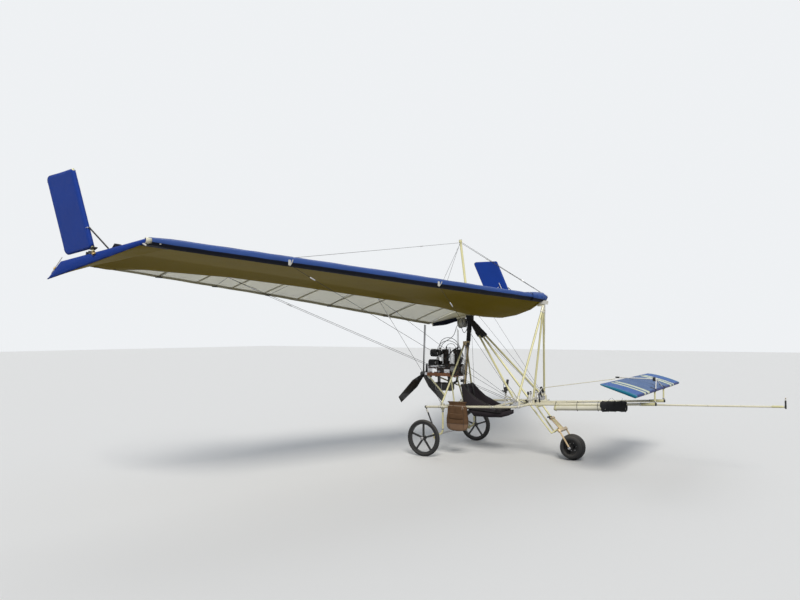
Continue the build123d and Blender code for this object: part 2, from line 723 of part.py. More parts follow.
# Engine bed: a plate between two side flanges
FLANGE_T = 6.0
FLANGE_H = 48.0
FLANGE_FRONT = 40.0
with BuildPart() as plate:
    add(box(PLATE_X[0], PLATE_X[1], -PLATE_Y, PLATE_Y, PLATE_Z, PLATE_Z + PLATE_T))
    for s in (-1, 1):
        y = s * (PLATE_Y - FLANGE_T / 2)
        add(box(PLATE_X[0], FLANGE_FRONT, y - FLANGE_T / 2, y + FLANGE_T / 2, PLATE_Z, PLATE_Z + FLANGE_H))
save(plate.part, "engine_plate")

# Engine: crankcase, two finned cylinders with their heads, starter drum
CASE_Z = (PLATE_Z + PLATE_T, 1225.0)
CYL_X = (-75.0, 110.0)
CASE_X = (-200.0, 170.0)
CASE_Y = 88.0
CYL_D = 96.0
FIN_D = 138.0
FIN_T = 3.5
FIN_STEP = 12.0
HEAD_Z = 1372.0
INTAKES = ((-114.0, 1385.0, 108.0), (-148.0, 1245.0, 88.0))
INTAKE_Y = -80.0
with BuildPart() as engine:
    with BuildSketch(Plane.XY.offset(CASE_Z[0])):
        with Locations(((CASE_X[0] + CASE_X[1]) / 2 - MID, 0)):
            RectangleRounded(CASE_X[1] - CASE_X[0], 2 * CASE_Y, 28)
    extrude(amount=CASE_Z[1] - CASE_Z[0])
    with Locations(*[(x - MID, 0, (CASE_Z[1] + HEAD_Z) / 2) for x in CYL_X]):
        Cylinder(CYL_D / 2, HEAD_Z - CASE_Z[1] + 20)
    for k in range(11):
        with BuildSketch(Plane.XY.offset(CASE_Z[1] + 14 + k * FIN_STEP)):
            with Locations(*[(x - MID, 0) for x in CYL_X]):
                RectangleRounded(FIN_D, FIN_D + 10, 40)
        extrude(amount=FIN_T)
    with BuildSketch(Plane.XY.offset(HEAD_Z)):
        with Locations(*[(x - MID, 0) for x in CYL_X]):
            Circle(FIN_D / 2 - 4)
    extrude(amount=22)
    for k in range(-4, 5):
        with Locations(*[(x - MID, k * FIN_STEP, HEAD_Z + 42) for x in CYL_X]):
            Box(100, FIN_T, 44)
    with Locations(*[(x - MID, 0, HEAD_Z + 44) for x in CYL_X]):
        Cylinder(9, 60)
    add(rod(at(CASE_X[1] - 10, 0, 1145), at(CASE_X[1] + 30, 0, 1145), 150))
    for x, z, filter_d in INTAKES:
        add(rod(at(x, -20, z), at(x, INTAKE_Y, z), 40))
save(engine.part, "engine")

# Reduction drive: plate, upper and lower pulley, propeller shaft
DRIVE_X = -347.0
CRANK_Z = 1178.0
with BuildPart() as drive:
    with BuildSketch(Plane(origin=at(DRIVE_X - 12, 0, 0), x_dir=(0, 1, 0), z_dir=(1, 0, 0))):
        with BuildLine():
            Polyline((-70, CRANK_Z + 45), (70, CRANK_Z + 45), (52, PROP_Z - 45), (-52, PROP_Z - 45), close=True)
        make_face()
    extrude(amount=12)
    add(rod(at(DRIVE_X - 12, 0, CRANK_Z), at(DRIVE_X - 62, 0, CRANK_Z), 76))
    add(rod(at(DRIVE_X - 12, 0, PROP_Z), at(DRIVE_X - 62, 0, PROP_Z), 128))
    add(rod(at(DRIVE_X - 60, 0, PROP_Z), at(PROP_X + PROP_HUB_T / 2 + SEAT_GAP, 0, PROP_Z), 40))
    add(rod(at(CASE_X[0] - 5, 0, CRANK_Z), at(DRIVE_X, 0, CRANK_Z), 60))
    with BuildSketch(Plane(origin=at(CASE_X[0] - SEAT_GAP, 0, CRANK_Z), x_dir=(0, 1, 0), z_dir=(-1, 0, 0))):
        Circle(52)
    extrude(amount=14)
save(drive.part, "reduction_drive")

# Carburettors with their round air filters, one above the other on the starboard side
FILTER_Y = -132.0
with BuildPart() as intake:
    for x, z, filter_d in INTAKES:
        add(rod(at(x - 136, FILTER_Y, z), at(x - 28, FILTER_Y, z), filter_d))
        add(rod(at(x - 28, FILTER_Y, z), at(x + 26, FILTER_Y, z), 62))
        add(rod(at(x, FILTER_Y, z - 38), at(x, FILTER_Y, z + 46), 44))
        add(rod(at(x, FILTER_Y, z), at(x, INTAKE_Y - SEAT_GAP, z), 40))
save(intake.part, "carburettors")

# Silencer under the plate, on two hangers, with the pipe from the front cylinder
with BuildPart() as silencer:
    with BuildSketch(Plane(origin=at(-240, 0, 889), x_dir=(0, 1, 0), z_dir=(1, 0, 0))):
        RectangleRounded(150, 118, 44)
    extrude(amount=255)
    for x in (-200, -30):
        add(box(x - 9, x + 9, -30, 30, 940, PLATE_Z - SEAT_GAP))
    add(
        bent_rod(
            (
                at(CYL_X[1], FIN_D / 2 + 5 + SEAT_GAP, 1300), at(CYL_X[1], 140, 1300),
                at(60, 142, 1180), at(20, 142, 960), at(-60, 40, 890),
            ),
            34,
        )
    )
save(silencer.part, "silencer")

# Seat with its side webs, the pan under it, the bag and the tank
SEAT_Y = 178.0
SEAT_BACK = (252.0, 948.0)
SEAT_HEEL = (305.0, 612.0)
SEAT_FRONT = (860.0, 575.0)
SEAT_T = 25.0


def seat_points(pairs):
    return [(x - MID, z) for x, z in pairs]


with BuildPart() as seat:
    with BuildSketch(Plane.XZ):
        with BuildLine():
            Polyline(
                *seat_points(
                    (
                        SEAT_BACK, (SEAT_BACK[0] + 28, SEAT_BACK[1] + 5), (SEAT_HEEL[0] + 30, SEAT_HEEL[1] + 28),
                        (SEAT_FRONT[0], SEAT_FRONT[1] + SEAT_T), SEAT_FRONT, SEAT_HEEL,
                    )
                ),
                close=True,
            )
        make_face()
    extrude(amount=SEAT_Y, both=True)
    for s in (-1, 1):
        with BuildSketch(Plane.XZ.offset(s * (SEAT_Y - 7))):
            with BuildLine():
                Polyline(
                    *seat_points(
                        (
                            SEAT_BACK, (SEAT_BACK[0] + 60, SEAT_BACK[1] + 8), (SEAT_BACK[0] + 250, 706),
                            (SEAT_FRONT[0], SEAT_FRONT[1] + SEAT_T), (SEAT_FRONT[0], SEAT_FRONT[1] + 5),
                            (SEAT_HEEL[0], SEAT_HEEL[1] + 3),
                        )
                    ),
                    close=True,
                )
            make_face()
        extrude(amount=7, both=True)
        for x in (345, 800):
            add(rod(at(x, s * (SEAT_Y - 10), 604), at(x, s * (INNER_Y - 1), rail_z(x)), 14))
save(seat.part, "seat")

with BuildPart() as pan:
    with BuildSketch(Plane.XZ):
        with BuildLine():
            Polyline(
                *seat_points(((330, 604), (430, 598), (840, 575.5), (925, 596), (925, 540), (850, 505), (430, 500))),
                close=True,
            )
        make_face()
    extrude(amount=SEAT_Y - 20, both=True)
    with BuildSketch(Plane.XZ):
        with BuildLine():
            Polyline(*seat_points((SEAT_BACK, SEAT_HEEL, SEAT_FRONT, (1200, 555.4), (1200, 1000), (172, 1000))), close=True)
        make_face()
    extrude(amount=SEAT_Y + 10, both=True, mode=Mode.SUBTRACT)
save(pan.part, "seat_pan")

BAG_T = 75.0
with BuildPart() as bag:
    y = -(RAIL_Y + RAIL_D / 2 + SEAT_GAP)
    add(box(248, 575, y - BAG_T, y, 352, 755))
    fillet(bag.edges().filter_by(Axis.Y), 34)
save(bag.part, "saddle_bag")

TANK_D = 130.0
tank_drop = (KEEL_D / 2 + TANK_D / 2 + SEAT_GAP + 0.5) / 0.9817
save(rod(at(140, 0, keel_z(140) - tank_drop), at(240, 0, keel_z(240) - tank_drop), TANK_D), "fuel_tank")

# Control stick on the seat bar, and the foot rest on the front cross tube
STICK_Y = -150.0
with BuildPart() as stick:
    low = at(SEAT_BAR_X, STICK_Y, bar_z)
    add(rod(low - side_u * 16, low + side_u * 16, 42))
    add(rod(low, at(930, STICK_Y, 860), 22))
    add(rod(at(930, STICK_Y, 860), at(953, STICK_Y, 1015), 16))
    add(rod(at(945, STICK_Y, 965), at(955, STICK_Y, 1028), 32))
    add(rod(low - side_u * 17, low + side_u * 17, BAR_D + 2 * SEAT_GAP), mode=Mode.SUBTRACT)
save(stick.part, "control_stick")
with BuildPart() as rest:
    for y, lean in ((-130, -25), (-65, 0), (65, 0), (130, 25)):
        low = at(FRONT_CROSS_X, y, front_z)
        add(rod(low, at(FRONT_CROSS_X - 8, y + lean, front_z + 160), 20))
        add(rod(low - side_u * 12, low + side_u * 12, 42))
    add(rod(at(FRONT_CROSS_X, -160, front_z), at(FRONT_CROSS_X, 160, front_z), CROSS_D + 2 * SEAT_GAP),
        mode=Mode.SUBTRACT)
save(rest.part, "foot_rest")


# Tip rudders on their posts, toed in at rest
RUDDER_LOW = 80.0


def rudder_parts():
    """The port post with its brace, and the port blade."""
    u = RUDDER_AXIS.normalized()
    foot = at(RUDDER_FOOT[0], RUDDER_Y, RUDDER_FOOT[1])
    length = RUDDER_AXIS.length
    toe = radians(TOE_IN)
    back = Vector(-u.Z, 0, u.X)
    corners = []
    for x, z in (RUDDER_BACK_TOP, RUDDER_BACK_LOW):
        away = at(x, RUDDER_Y, z) - foot
        corners.append((away.dot(back) / cos(toe), away.dot(u)))
    edge = POST_D / 2 + 4.5
    turned = back * cos(toe) - Vector(0, 1, 0) * sin(toe)
    with BuildPart() as blade:
        with BuildSketch(Plane(origin=foot, x_dir=turned, z_dir=turned.cross(u))):
            with BuildLine():
                Polyline((edge, RUDDER_LOW), (edge, length), *corners, close=True)
            make_face()
        extrude(amount=7, both=True)
        for low in (RUDDER_LOW + 30, length - 120):
            a = foot + u * low
            add(rod(a, a + u * 90, POST_D + 14))
            add(rod(a - u * 5, a + u * 95, POST_D + 2 * RUN_GAP), mode=Mode.SUBTRACT)
    return rod(foot, foot + u * length, POST_D), blade.part


post, blade = rudder_parts()
save(group((post, mirror(post, about=Plane.XZ))), "rudder_posts")
save(blade, "rudder_port")
save(mirror(blade, about=Plane.XZ), "rudder_starboard")

# Main stays: from the wing down to the frame's corners, and up to the kingpost's ball
LOW_STAYS = (
    ((-1048.0, 3410.0, 2300.0), (FRONT_CROSS_X - 30, CORNER_Y + 14, 768.0)),
    ((-359.0, 1398.0, 2134.0), (REAR_CROSS_X, CORNER_Y + 22, rear_z + 30)),
)
TOP_STAYS = ((76.0, 3640.0, 2433.0), (789.0, 1700.0, 2304.0))
with BuildPart() as stays:
    for wing_end, frame_end in LOW_STAYS:
        add(rod(at(*wing_end), at(*frame_end), STAY_D))
    for x, y, z in TOP_STAYS:
        a, b = between(at(*KING_TOP), at(x, y, z), KING_BALL / 2 + SEAT_GAP, 0)
        add(rod(a, b, STAY_D))
    add(port_wing, mode=Mode.SUBTRACT)
# A stay that ends at the sail leaves a crumb inside it, which is dropped
CRUMB = 1000.0
port_stays = group(wire for wire in stays.part.solids() if wire.volume > CRUMB)
save(group((port_stays, mirror(port_stays, about=Plane.XZ))), "main_stays")
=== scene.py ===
# %% [markdown]
# # A canard microlight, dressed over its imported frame
# The tubes, wheels, hinges and the engine's castings come from the CAD model. This notebook gives
# them their finish, and makes what only a mesh can show well: sailcloth, tyres, foam, wires and hoses.
# Everything is in metres, X forward to the nose pole, Y to port and Z up.

# %% Load the frame
import bmesh
import bpy
import math
import numpy as np
from mathutils import Matrix, Vector, noise


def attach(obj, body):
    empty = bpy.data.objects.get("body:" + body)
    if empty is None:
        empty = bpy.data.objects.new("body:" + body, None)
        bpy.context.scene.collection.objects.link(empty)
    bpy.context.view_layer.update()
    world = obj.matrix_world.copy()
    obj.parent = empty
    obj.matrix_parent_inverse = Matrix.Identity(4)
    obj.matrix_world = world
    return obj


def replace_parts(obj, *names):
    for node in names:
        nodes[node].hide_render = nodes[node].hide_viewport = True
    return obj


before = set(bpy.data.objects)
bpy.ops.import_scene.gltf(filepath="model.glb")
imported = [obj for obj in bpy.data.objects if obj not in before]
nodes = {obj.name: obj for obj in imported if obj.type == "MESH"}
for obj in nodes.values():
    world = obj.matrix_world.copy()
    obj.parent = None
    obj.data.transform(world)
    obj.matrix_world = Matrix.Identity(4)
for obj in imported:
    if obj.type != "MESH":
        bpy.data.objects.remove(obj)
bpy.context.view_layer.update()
scene = bpy.context.scene
SIDES = (("port", 1), ("starboard", -1))

# %% [markdown]
# ## Camera
# The photograph was taken from the starboard front quarter at eye height, looking slightly up. A camera
# can be set by eye, or fitted to points that are known on the aircraft; the numbers below were fitted.

# %% Camera
MID = 1.1285
camera = bpy.data.objects.new("camera", bpy.data.cameras.new("camera"))
scene.collection.objects.link(camera)
camera.location = (4.7055 - MID, -8.9941, 1.6703)
camera.rotation_euler = (math.radians(92.779), 0, math.radians(31.854))
camera.data.sensor_width = 36
camera.data.lens = 30.899
scene.camera = camera

# %% [markdown]
# ## Floor, sky and lamps
# A studio could be a curved sweep or a plain floor under an even sky. The span is ten metres, so a
# plain floor is used, and what the camera sees of floor and sky is set by Light Path to the same
# pale tone. A soft sun behind the camera models the tubes, and a darker floor throws up only as much
# light as a road does, so that the underside of the wing stays in shade.


# %% Floor and sky
def chain(tree, kind, inputs, **settings):
    """A new shader node's outputs; each of its inputs takes a link or a plain value."""
    node = tree.nodes.new("ShaderNode" + kind)
    for key, value in settings.items():
        setattr(node, key, value)
    for socket, source in inputs.items():
        if isinstance(source, bpy.types.NodeSocket):
            tree.links.new(source, node.inputs[socket])
        else:
            node.inputs[socket].default_value = source
    return node.outputs


def backdrop_share(tree):
    """1 where a ray comes from the camera, a mirror or glass."""
    path = chain(tree, "LightPath", {})
    total = path["Is Camera Ray"]
    for name in ("Is Glossy Ray", "Is Transmission Ray"):
        total = chain(tree, "Math", {0: total, 1: path[name]}, operation="MAXIMUM")[0]
    return total


SKY_LIT, SKY_SEEN, SKY_STRENGTH = (0.82, 0.89, 1.0, 1), (0.86, 0.88, 0.90, 1), 0.34
FLOOR_LIT, FLOOR_SEEN, FLOOR_HALF = (0.20, 0.19, 0.17, 1), (0.84, 0.84, 0.83, 1), 60
world = bpy.data.worlds.new("studio sky")
scene.world = world
world.use_nodes = True
tree = world.node_tree
light = tree.nodes["Background"]
light.inputs["Color"].default_value = SKY_LIT
light.inputs["Strength"].default_value = SKY_STRENGTH
seen = chain(tree, "Background", {"Color": SKY_SEEN})[0]
mix = chain(tree, "MixShader", {0: backdrop_share(tree), 1: light.outputs[0], 2: seen})[0]
tree.links.new(mix, tree.nodes["World Output"].inputs[0])

floor_mesh = bpy.data.meshes.new("floor")
floor_corners = [(x * FLOOR_HALF, y * FLOOR_HALF, 0) for x, y in ((-1, -1), (1, -1), (1, 1), (-1, 1))]
floor_mesh.from_pydata(floor_corners, [], [(0, 1, 2, 3)])
floor = bpy.data.objects.new("floor", floor_mesh)
scene.collection.objects.link(floor)
ground = bpy.data.materials.new("pale floor")
ground.use_nodes = True
tree = ground.node_tree
shader = tree.nodes["Principled BSDF"]
shader.inputs["Roughness"].default_value = 0.95
shader.inputs["Specular IOR Level"].default_value = 0.1
tone = chain(tree, "Mix", {0: backdrop_share(tree), 6: FLOOR_LIT, 7: FLOOR_SEEN}, data_type="RGBA")[2]
tree.links.new(tone, shader.inputs["Base Color"])
floor_mesh.materials.append(ground)

# %% Lamps
LAMPS = (
    # name, the place that it shines from, strength, softness in degrees, colour
    ("key", (6.0, -9.0, 9.5), 2.3, 24, (1.0, 0.965, 0.91)),
    ("rim", (-6.0, 6.0, 8.0), 0.5, 40, (0.92, 0.96, 1.0)),
)
for name, place, strength, softness, colour in LAMPS:
    data = bpy.data.lights.new(name, "SUN")
    data.angle = math.radians(softness)
    data.energy = strength
    data.color = colour
    lamp = bpy.data.objects.new(name, data)
    scene.collection.objects.link(lamp)
    lamp.location = place
    lamp.rotation_euler = (-Vector(place)).to_track_quat("-Z", "Y").to_euler()
scene.view_settings.view_transform = "Standard"
print("lamps", len(LAMPS))

# %% [markdown]
# ## Shared surface effects
# Real surfaces are never one flat tone: cloth has a weave and soft wrinkles, metal is worn where hands
# and ropes rub, and dust lies on what faces up. Each effect is a node group with its own inputs,
# so that every finish below can use it at its own scale.


# %% Helpers for node groups
FLOAT, COLOUR = "NodeSocketFloat", "NodeSocketColor"


def new_group(name, inputs, output):
    """An empty shader group and its inputs: (name, kind, value) each; output is (name, kind)."""
    group = bpy.data.node_groups.new(name, "ShaderNodeTree")
    for label, kind, value in inputs:
        group.interface.new_socket(label, in_out="INPUT", socket_type=kind).default_value = value
    group.interface.new_socket(output[0], in_out="OUTPUT", socket_type=output[1])
    return group, group.nodes.new("NodeGroupInput").outputs


def close_group(group, result):
    """Makes this the group's output."""
    group.links.new(result, group.nodes.new("NodeGroupOutput").inputs[0])


def maths(group, operation, *inputs):
    """The result of one step of maths."""
    return chain(group, "Math", dict(enumerate(inputs)), operation=operation)[0]


def own_place(group):
    """The place of each point in its object's own frame."""
    return chain(group, "TexCoord", {})["Object"]


def clouds(group, place, scale, **values):
    """Soft noise."""
    return chain(group, "TexNoise", {"Vector": place, "Scale": scale, **values})["Fac"]


# %% Tone drift: slow changes of a colour over the surface
MID_GREY = (0.5, 0.5, 0.5, 1)
group, given = new_group(
    "tone drift", (("Color", COLOUR, MID_GREY), ("Scale", FLOAT, 3.0), ("Amount", FLOAT, 0.2)), ("Color", COLOUR),
)
cloud = clouds(group, own_place(group), given["Scale"], Detail=5.0)
spread = chain(group, "MapRange", {"Value": cloud, "From Min": 0.3, "From Max": 0.7, "To Min": 0.0})[0]
amount = maths(group, "MULTIPLY", spread, given["Amount"])
darker = chain(group, "HueSaturation", {"Color": given["Color"], "Value": 0.45, "Saturation": 0.9})[0]
close_group(group, chain(group, "Mix", {0: amount, 6: given["Color"], 7: darker}, data_type="RGBA")[2])

# %% Weave: crossed threads, for cloth and webbing
group, given = new_group("weave", (("Pitch", FLOAT, 0.002),), ("Height", FLOAT))
per = maths(group, "DIVIDE", math.pi, given["Pitch"])
scaled = chain(group, "VectorMath", {0: own_place(group), "Scale": per}, operation="SCALE")[0]
axes = chain(group, "SeparateXYZ", {0: scaled})
along, across, up = [maths(group, "ABSOLUTE", maths(group, "SINE", axis)) for axis in axes]
close_group(group, maths(group, "ADD", maths(group, "MULTIPLY", along, across), up))

# %% Wrinkles: soft folds of cloth that is not quite taut
group, given = new_group("wrinkles", (("Scale", FLOAT, 6.0), ("Stretch", FLOAT, 1.0)), ("Height", FLOAT))
drawn = chain(group, "CombineXYZ", {"X": 1.0, "Y": given["Stretch"], "Z": 1.0})[0]
bent = chain(group, "VectorMath", {0: own_place(group), 1: drawn}, operation="MULTIPLY")[0]
close_group(group, clouds(group, bent, given["Scale"], Detail=3.0, Distortion=0.8))

# %% Rubbed marks: fine scratches and worn spots, as a mask
group, given = new_group("rubbed marks", (("Scale", FLOAT, 30.0), ("Share", FLOAT, 0.3)), ("Mask", FLOAT))
spots = clouds(group, own_place(group), given["Scale"], Detail=8.0, Roughness=0.7)
edge = maths(group, "SUBTRACT", 0.75, given["Share"])
high = maths(group, "ADD", edge, 0.08)
close_group(group, chain(group, "MapRange", {"Value": spots, "From Min": edge, "From Max": high})[0])

# %% Dust: a film on what faces up
group, given = new_group("dust", (("Amount", FLOAT, 0.3), ("Scale", FLOAT, 8.0)), ("Mask", FLOAT))
up = chain(group, "SeparateXYZ", {0: chain(group, "NewGeometry", {})["Normal"]})["Z"]
facing = chain(group, "MapRange", {"Value": up, "From Min": 0.1, "From Max": 1.0})[0]
patchy = maths(group, "MULTIPLY", facing, clouds(group, own_place(group), given["Scale"], Detail=6.0))
close_group(group, maths(group, "MULTIPLY", patchy, given["Amount"]))
print("groups", [g.name for g in bpy.data.node_groups])

# %% [markdown]
# ## Finishes
# One function builds a finish from the shared groups: a base colour that drifts, a worn colour under
# rubbed marks, a film of dust, and bumps from weave, wrinkles or cast grain. Steady numbers, such as
# metalness, stay on the shader's own sockets.

# %% Build a finish
MATERIALS = {}
DUST_TONE, DUST_ROUGHER, THREAD_HEIGHT = (0.36, 0.33, 0.28), 0.35, 0.3


def finish(name, colour, rough=0.5, metal=0.0, drifts=(3.0, 0.2), wear=None, dusty=0.12, pitch=None, fold=None,
           grain=None, bump=1.0, **extra):
    """A material: wear is (scale, share, colour), fold is (scale, stretch, metres), grain is (scale, metres)."""
    material = bpy.data.materials.new(name)
    material.use_nodes = True
    tree = material.node_tree
    shader = tree.nodes["Principled BSDF"]
    shader.inputs["Metallic"].default_value = metal
    for key, value in extra.items():
        shader.inputs[key.replace("_", " ").title().replace("Ior", "IOR")].default_value = value

    def effect(label, **values):
        return chain(tree, "Group", values, node_tree=bpy.data.node_groups[label])[0]

    def mixed(a, b, factor):
        return chain(tree, "Mix", {0: factor, 6: a, 7: (*b, 1)}, data_type="RGBA")[2]

    tone = effect("tone drift", Color=(*colour, 1), Scale=drifts[0], Amount=drifts[1])
    if wear:
        tone = mixed(tone, wear[2], effect("rubbed marks", Scale=wear[0], Share=wear[1]))
    film = effect("dust", Amount=dusty)
    tree.links.new(mixed(tone, DUST_TONE, film), shader.inputs["Base Color"])
    spread = {"Value": film, "To Min": rough, "To Max": min(1.0, rough + DUST_ROUGHER)}
    tree.links.new(chain(tree, "MapRange", spread)[0], shader.inputs["Roughness"])
    heights = []
    if pitch:
        heights.append((effect("weave", Pitch=pitch), pitch * THREAD_HEIGHT))
    if fold:
        heights.append((effect("wrinkles", Scale=fold[0], Stretch=fold[1]), fold[2]))
    if grain:
        heights.append((effect("wrinkles", Scale=grain[0], Stretch=1.0), grain[1]))
    below = {}
    for height, metres in heights:
        normal = chain(tree, "Bump", {"Height": height, "Distance": metres, "Strength": bump, **below})[0]
        below = {"Normal": normal}
    if heights:
        tree.links.new(normal, shader.inputs["Normal"])
    MATERIALS[name] = material


# %% The finishes
BRIGHT = (0.75, 0.75, 0.74)
CLOTH = {"specular_ior_level": 0.12}
SAIL = {"pitch": 0.0009, **CLOTH}
for name, colour, rough, drifts, fold, dusty in (
    ("blue sailcloth", (0.010, 0.050, 0.33), 0.55, (2.5, 0.22), (9, 0.5, 0.004), 0.06),
    ("deep blue sailcloth", (0.010, 0.032, 0.19), 0.45, (2.5, 0.2), (12, 0.5, 0.004), 0.05),
    # A lighter copy of the blue: painted light on the upper side of the front pocket, the tip noses and the apex cap.
    ("blue sailcloth with painted light", (0.045, 0.105, 0.36), 0.45, (3.5, 0.3), (9, 0.5, 0.005), 0.12),
    ("faded blue sailcloth", (0.070, 0.150, 0.34), 0.5, (4, 0.2), (9, 0.5, 0.003), 0.12),
    ("bright blue sailcloth", (0.030, 0.120, 0.40), 0.5, (4, 0.2), (9, 0.5, 0.003), 0.06),
    # Lighter than the blue: partly real teal trim, partly painted light on the canard's end faces, which would
    # otherwise render in shade.
    ("teal sailcloth with painted light", (0.015, 0.20, 0.32), 0.45, (3.0, 0.2), (9, 0.5, 0.003), 0.12),
    # Near black: real navy cloth on the keel and the tip peaks, and partly painted shade on the lower side of the front
    # pocket, tip noses and apex cap.
    ("navy sailcloth", (0.008, 0.010, 0.022), 0.55, (4, 0.3), (12, 0.6, 0.003), 0.05),
    ("stripe sailcloth", (0.72, 0.78, 0.60), 0.5, (4, 0.1), (9, 0.4, 0.003), 0.0),
    ("yellow sailcloth", (0.30, 0.215, 0.006), 0.6, (1.2, 0.2), (4, 0.35, 0.004), 0.0),
):
    finish(name, colour, rough, drifts=drifts, fold=fold, dusty=dusty, **SAIL)
finish("white sailcloth", (0.75, 0.69, 0.42), 0.6, drifts=(1.4, 0.10), fold=(4, 0.35, 0.004), dusty=0.0,
       subsurface_weight=0.8, subsurface_radius=(1, 1, 1), subsurface_scale=0.02, **SAIL)
finish("cream anodising", (0.82, 0.78, 0.44), 0.34, 0.12, (7, 0.16), (60, 0.10, BRIGHT))
finish("tan anodising", (0.56, 0.44, 0.24), 0.36, 0.3, (7, 0.22), (60, 0.14, BRIGHT))
finish("silver tube", (0.90, 0.86, 0.66), 0.32, 0.18, (6, 0.16), (45, 0.16, (0.4, 0.4, 0.4)))
finish("white enamel", (0.80, 0.79, 0.74), 0.35, 0.0, (9, 0.15), (50, 0.16, (0.35, 0.33, 0.3)))
finish("copper enamel", (0.74, 0.56, 0.32), 0.38, 0.15, (8, 0.2), (60, 0.16, BRIGHT))
finish("black enamel", (0.012, 0.012, 0.013), 0.4, 0.0, (9, 0.3), (50, 0.16, (0.12, 0.12, 0.12)))
finish("steel", (0.42, 0.42, 0.43), 0.35, 1.0, (12, 0.3), (60, 0.2, (0.2, 0.16, 0.12)))
finish("steel wire", (0.028, 0.028, 0.028), 0.5, 0.6, (30, 0.3))
finish("brass", (0.72, 0.50, 0.20), 0.35, 1.0, (20, 0.25))
finish("black foam", (0.012, 0.013, 0.015), 0.85, drifts=(10, 0.3), grain=(160, 0.0012), dusty=0.2)
finish("tyre rubber", (0.020, 0.020, 0.021), 0.75, drifts=(8, 0.3), grain=(220, 0.0006), dusty=0.35)
finish("black plastic", (0.018, 0.018, 0.019), 0.45, 0.0, (8, 0.25), (60, 0.12, (0.1, 0.1, 0.1)), grain=(300, 0.0003))
finish("grey plastic", (0.84, 0.82, 0.68), 0.45, drifts=(5, 0.15), grain=(200, 0.0002))
finish("tank plastic", (0.72, 0.73, 0.68), 0.32, drifts=(8, 0.15))
finish("propeller lacquer", (0.010, 0.010, 0.011), 0.28, 0.0, (5, 0.3), (70, 0.1, (0.09, 0.08, 0.07)), coat_weight=0.4)
finish("cast alloy", (0.34, 0.34, 0.35), 0.5, 0.8, (12, 0.35), (40, 0.2, (0.14, 0.12, 0.10)), grain=(140, 0.0008))
finish("black cylinder", (0.020, 0.019, 0.019), 0.55, 0.3, (12, 0.35), (50, 0.22, (0.14, 0.07, 0.04)),
       grain=(140, 0.0008))
finish("machined alloy", (0.62, 0.62, 0.63), 0.28, 0.95, (10, 0.2), (60, 0.2, (0.3, 0.3, 0.3)))
finish("orange bed paint", (0.50, 0.20, 0.085), 0.5, 0.0, (14, 0.4), (40, 0.22, (0.18, 0.12, 0.09)))
finish("seat cloth", (0.046, 0.039, 0.046), 0.8, drifts=(8, 0.3), pitch=0.0018, fold=(14, 1, 0.004), **CLOTH)
finish("brown mesh", (0.170, 0.095, 0.050), 0.75, drifts=(10, 0.4), pitch=0.0030, fold=(18, 1, 0.005), **CLOTH)
finish("red brown cloth", (0.26, 0.155, 0.090), 0.75, drifts=(10, 0.3), pitch=0.0022, fold=(18, 1, 0.004), dusty=0.1)
finish("pale cord", (0.62, 0.52, 0.42), 0.7, drifts=(20, 0.3), pitch=0.0015, bump=0.2)
finish("black strap", (0.012, 0.012, 0.013), 0.7, drifts=(12, 0.3), pitch=0.0015, bump=0.8)
print("finishes", len(MATERIALS))

# %% [markdown]
# ## Finish the CAD pieces that stay
# A tube or casting whose CAD shape is right keeps it. Only its material slot changes.

# %% Dress the CAD nodes
DRESS = {
    "cream anodising": ("downtubes", "hub_struts", "kingpost", "gear_legs", "nose_leg", "canard_posts", "rear_braces",
                        "rudder_posts"),
    "tan anodising": ("pylon",),
    "silver tube": ("side_rails", "front_cross_tube", "rear_cross_tube", "seat_bar", "canard_booms", "nose_pole",
                    "keel_tube", "apex_fitting"),
    "white enamel": ("control_stick", "foot_rest"),
    "copper enamel": ("nose_fork",),
    "steel": ("main_axle",),
    "steel wire": ("main_stays",),
    "black foam": ("hub_covers",),
    "black plastic": ("wheel_rim_port", "wheel_rim_starboard", "nose_rim", "carburettors"),
    "tyre rubber": ("wheel_tyre_port", "wheel_tyre_starboard", "nose_tyre"),
    "propeller lacquer": ("propeller",),
    "black cylinder": ("engine",),
    "machined alloy": ("reduction_drive",),
    "orange bed paint": ("engine_plate",),
    "black enamel": ("silencer", "pole_instrument", "drag_struts"),
    "grey plastic": ("stowage_tube",),
    "tank plastic": ("fuel_tank",),
    "seat cloth": ("seat", "seat_pan"),
    "brown mesh": ("saddle_bag",),
    "navy sailcloth": ("keel_pocket",),
    "blue sailcloth": ("canard", "tip_panel_port", "tip_panel_starboard", "rudder_port", "rudder_starboard"),
    "yellow sailcloth": ("wing_port", "wing_starboard"),
}
for name, members in DRESS.items():
    for member in members:
        mesh = nodes[member].data
        mesh.materials.clear()
        mesh.materials.append(MATERIALS[name])
print("dressed", sum(len(m) for m in DRESS.values()), "of", len(nodes))

# %% [markdown]
# ## Helpers for mesh pieces
# Sailcloth is a grid of points, a hose is a ring swept along a smooth line, and a fitting is a few
# bevelled blocks. Three small helpers cover them, and each one puts its piece on the body it rides.


# %% Mesh helpers
def at(station, y, z):
    """A point of the row frame, its station measured forward of the main axle."""
    return Vector((station - MID, y, z))


AHEAD, BACK, PORT, STARBOARD, UP, DOWN = (1, 0, 0), (-1, 0, 0), (0, 1, 0), (0, -1, 0), (0, 0, 1), (0, 0, -1)


def mirrored(p, s):
    """A point of the port half on the side of s: 1 for port, -1 for starboard."""
    return Vector((p.x, s * p.y, p.z))


def loop_round(middle, across, up, count=25):
    """A closed line round a middle, from its two half axes."""
    return [middle + across * math.cos(a) + up * math.sin(a) for a in np.linspace(0, 2 * math.pi, count)]


def rounded(share, sharpness):
    """0 at an edge and 1 inside it, over a quarter of a circle."""
    return math.sqrt(max(0.0, 1 - (1 - min(1.0, share * sharpness)) ** 2))


def mesh_of(name, bm):
    mesh = bpy.data.meshes.new(name)
    bm.to_mesh(mesh)
    bm.free()
    return mesh


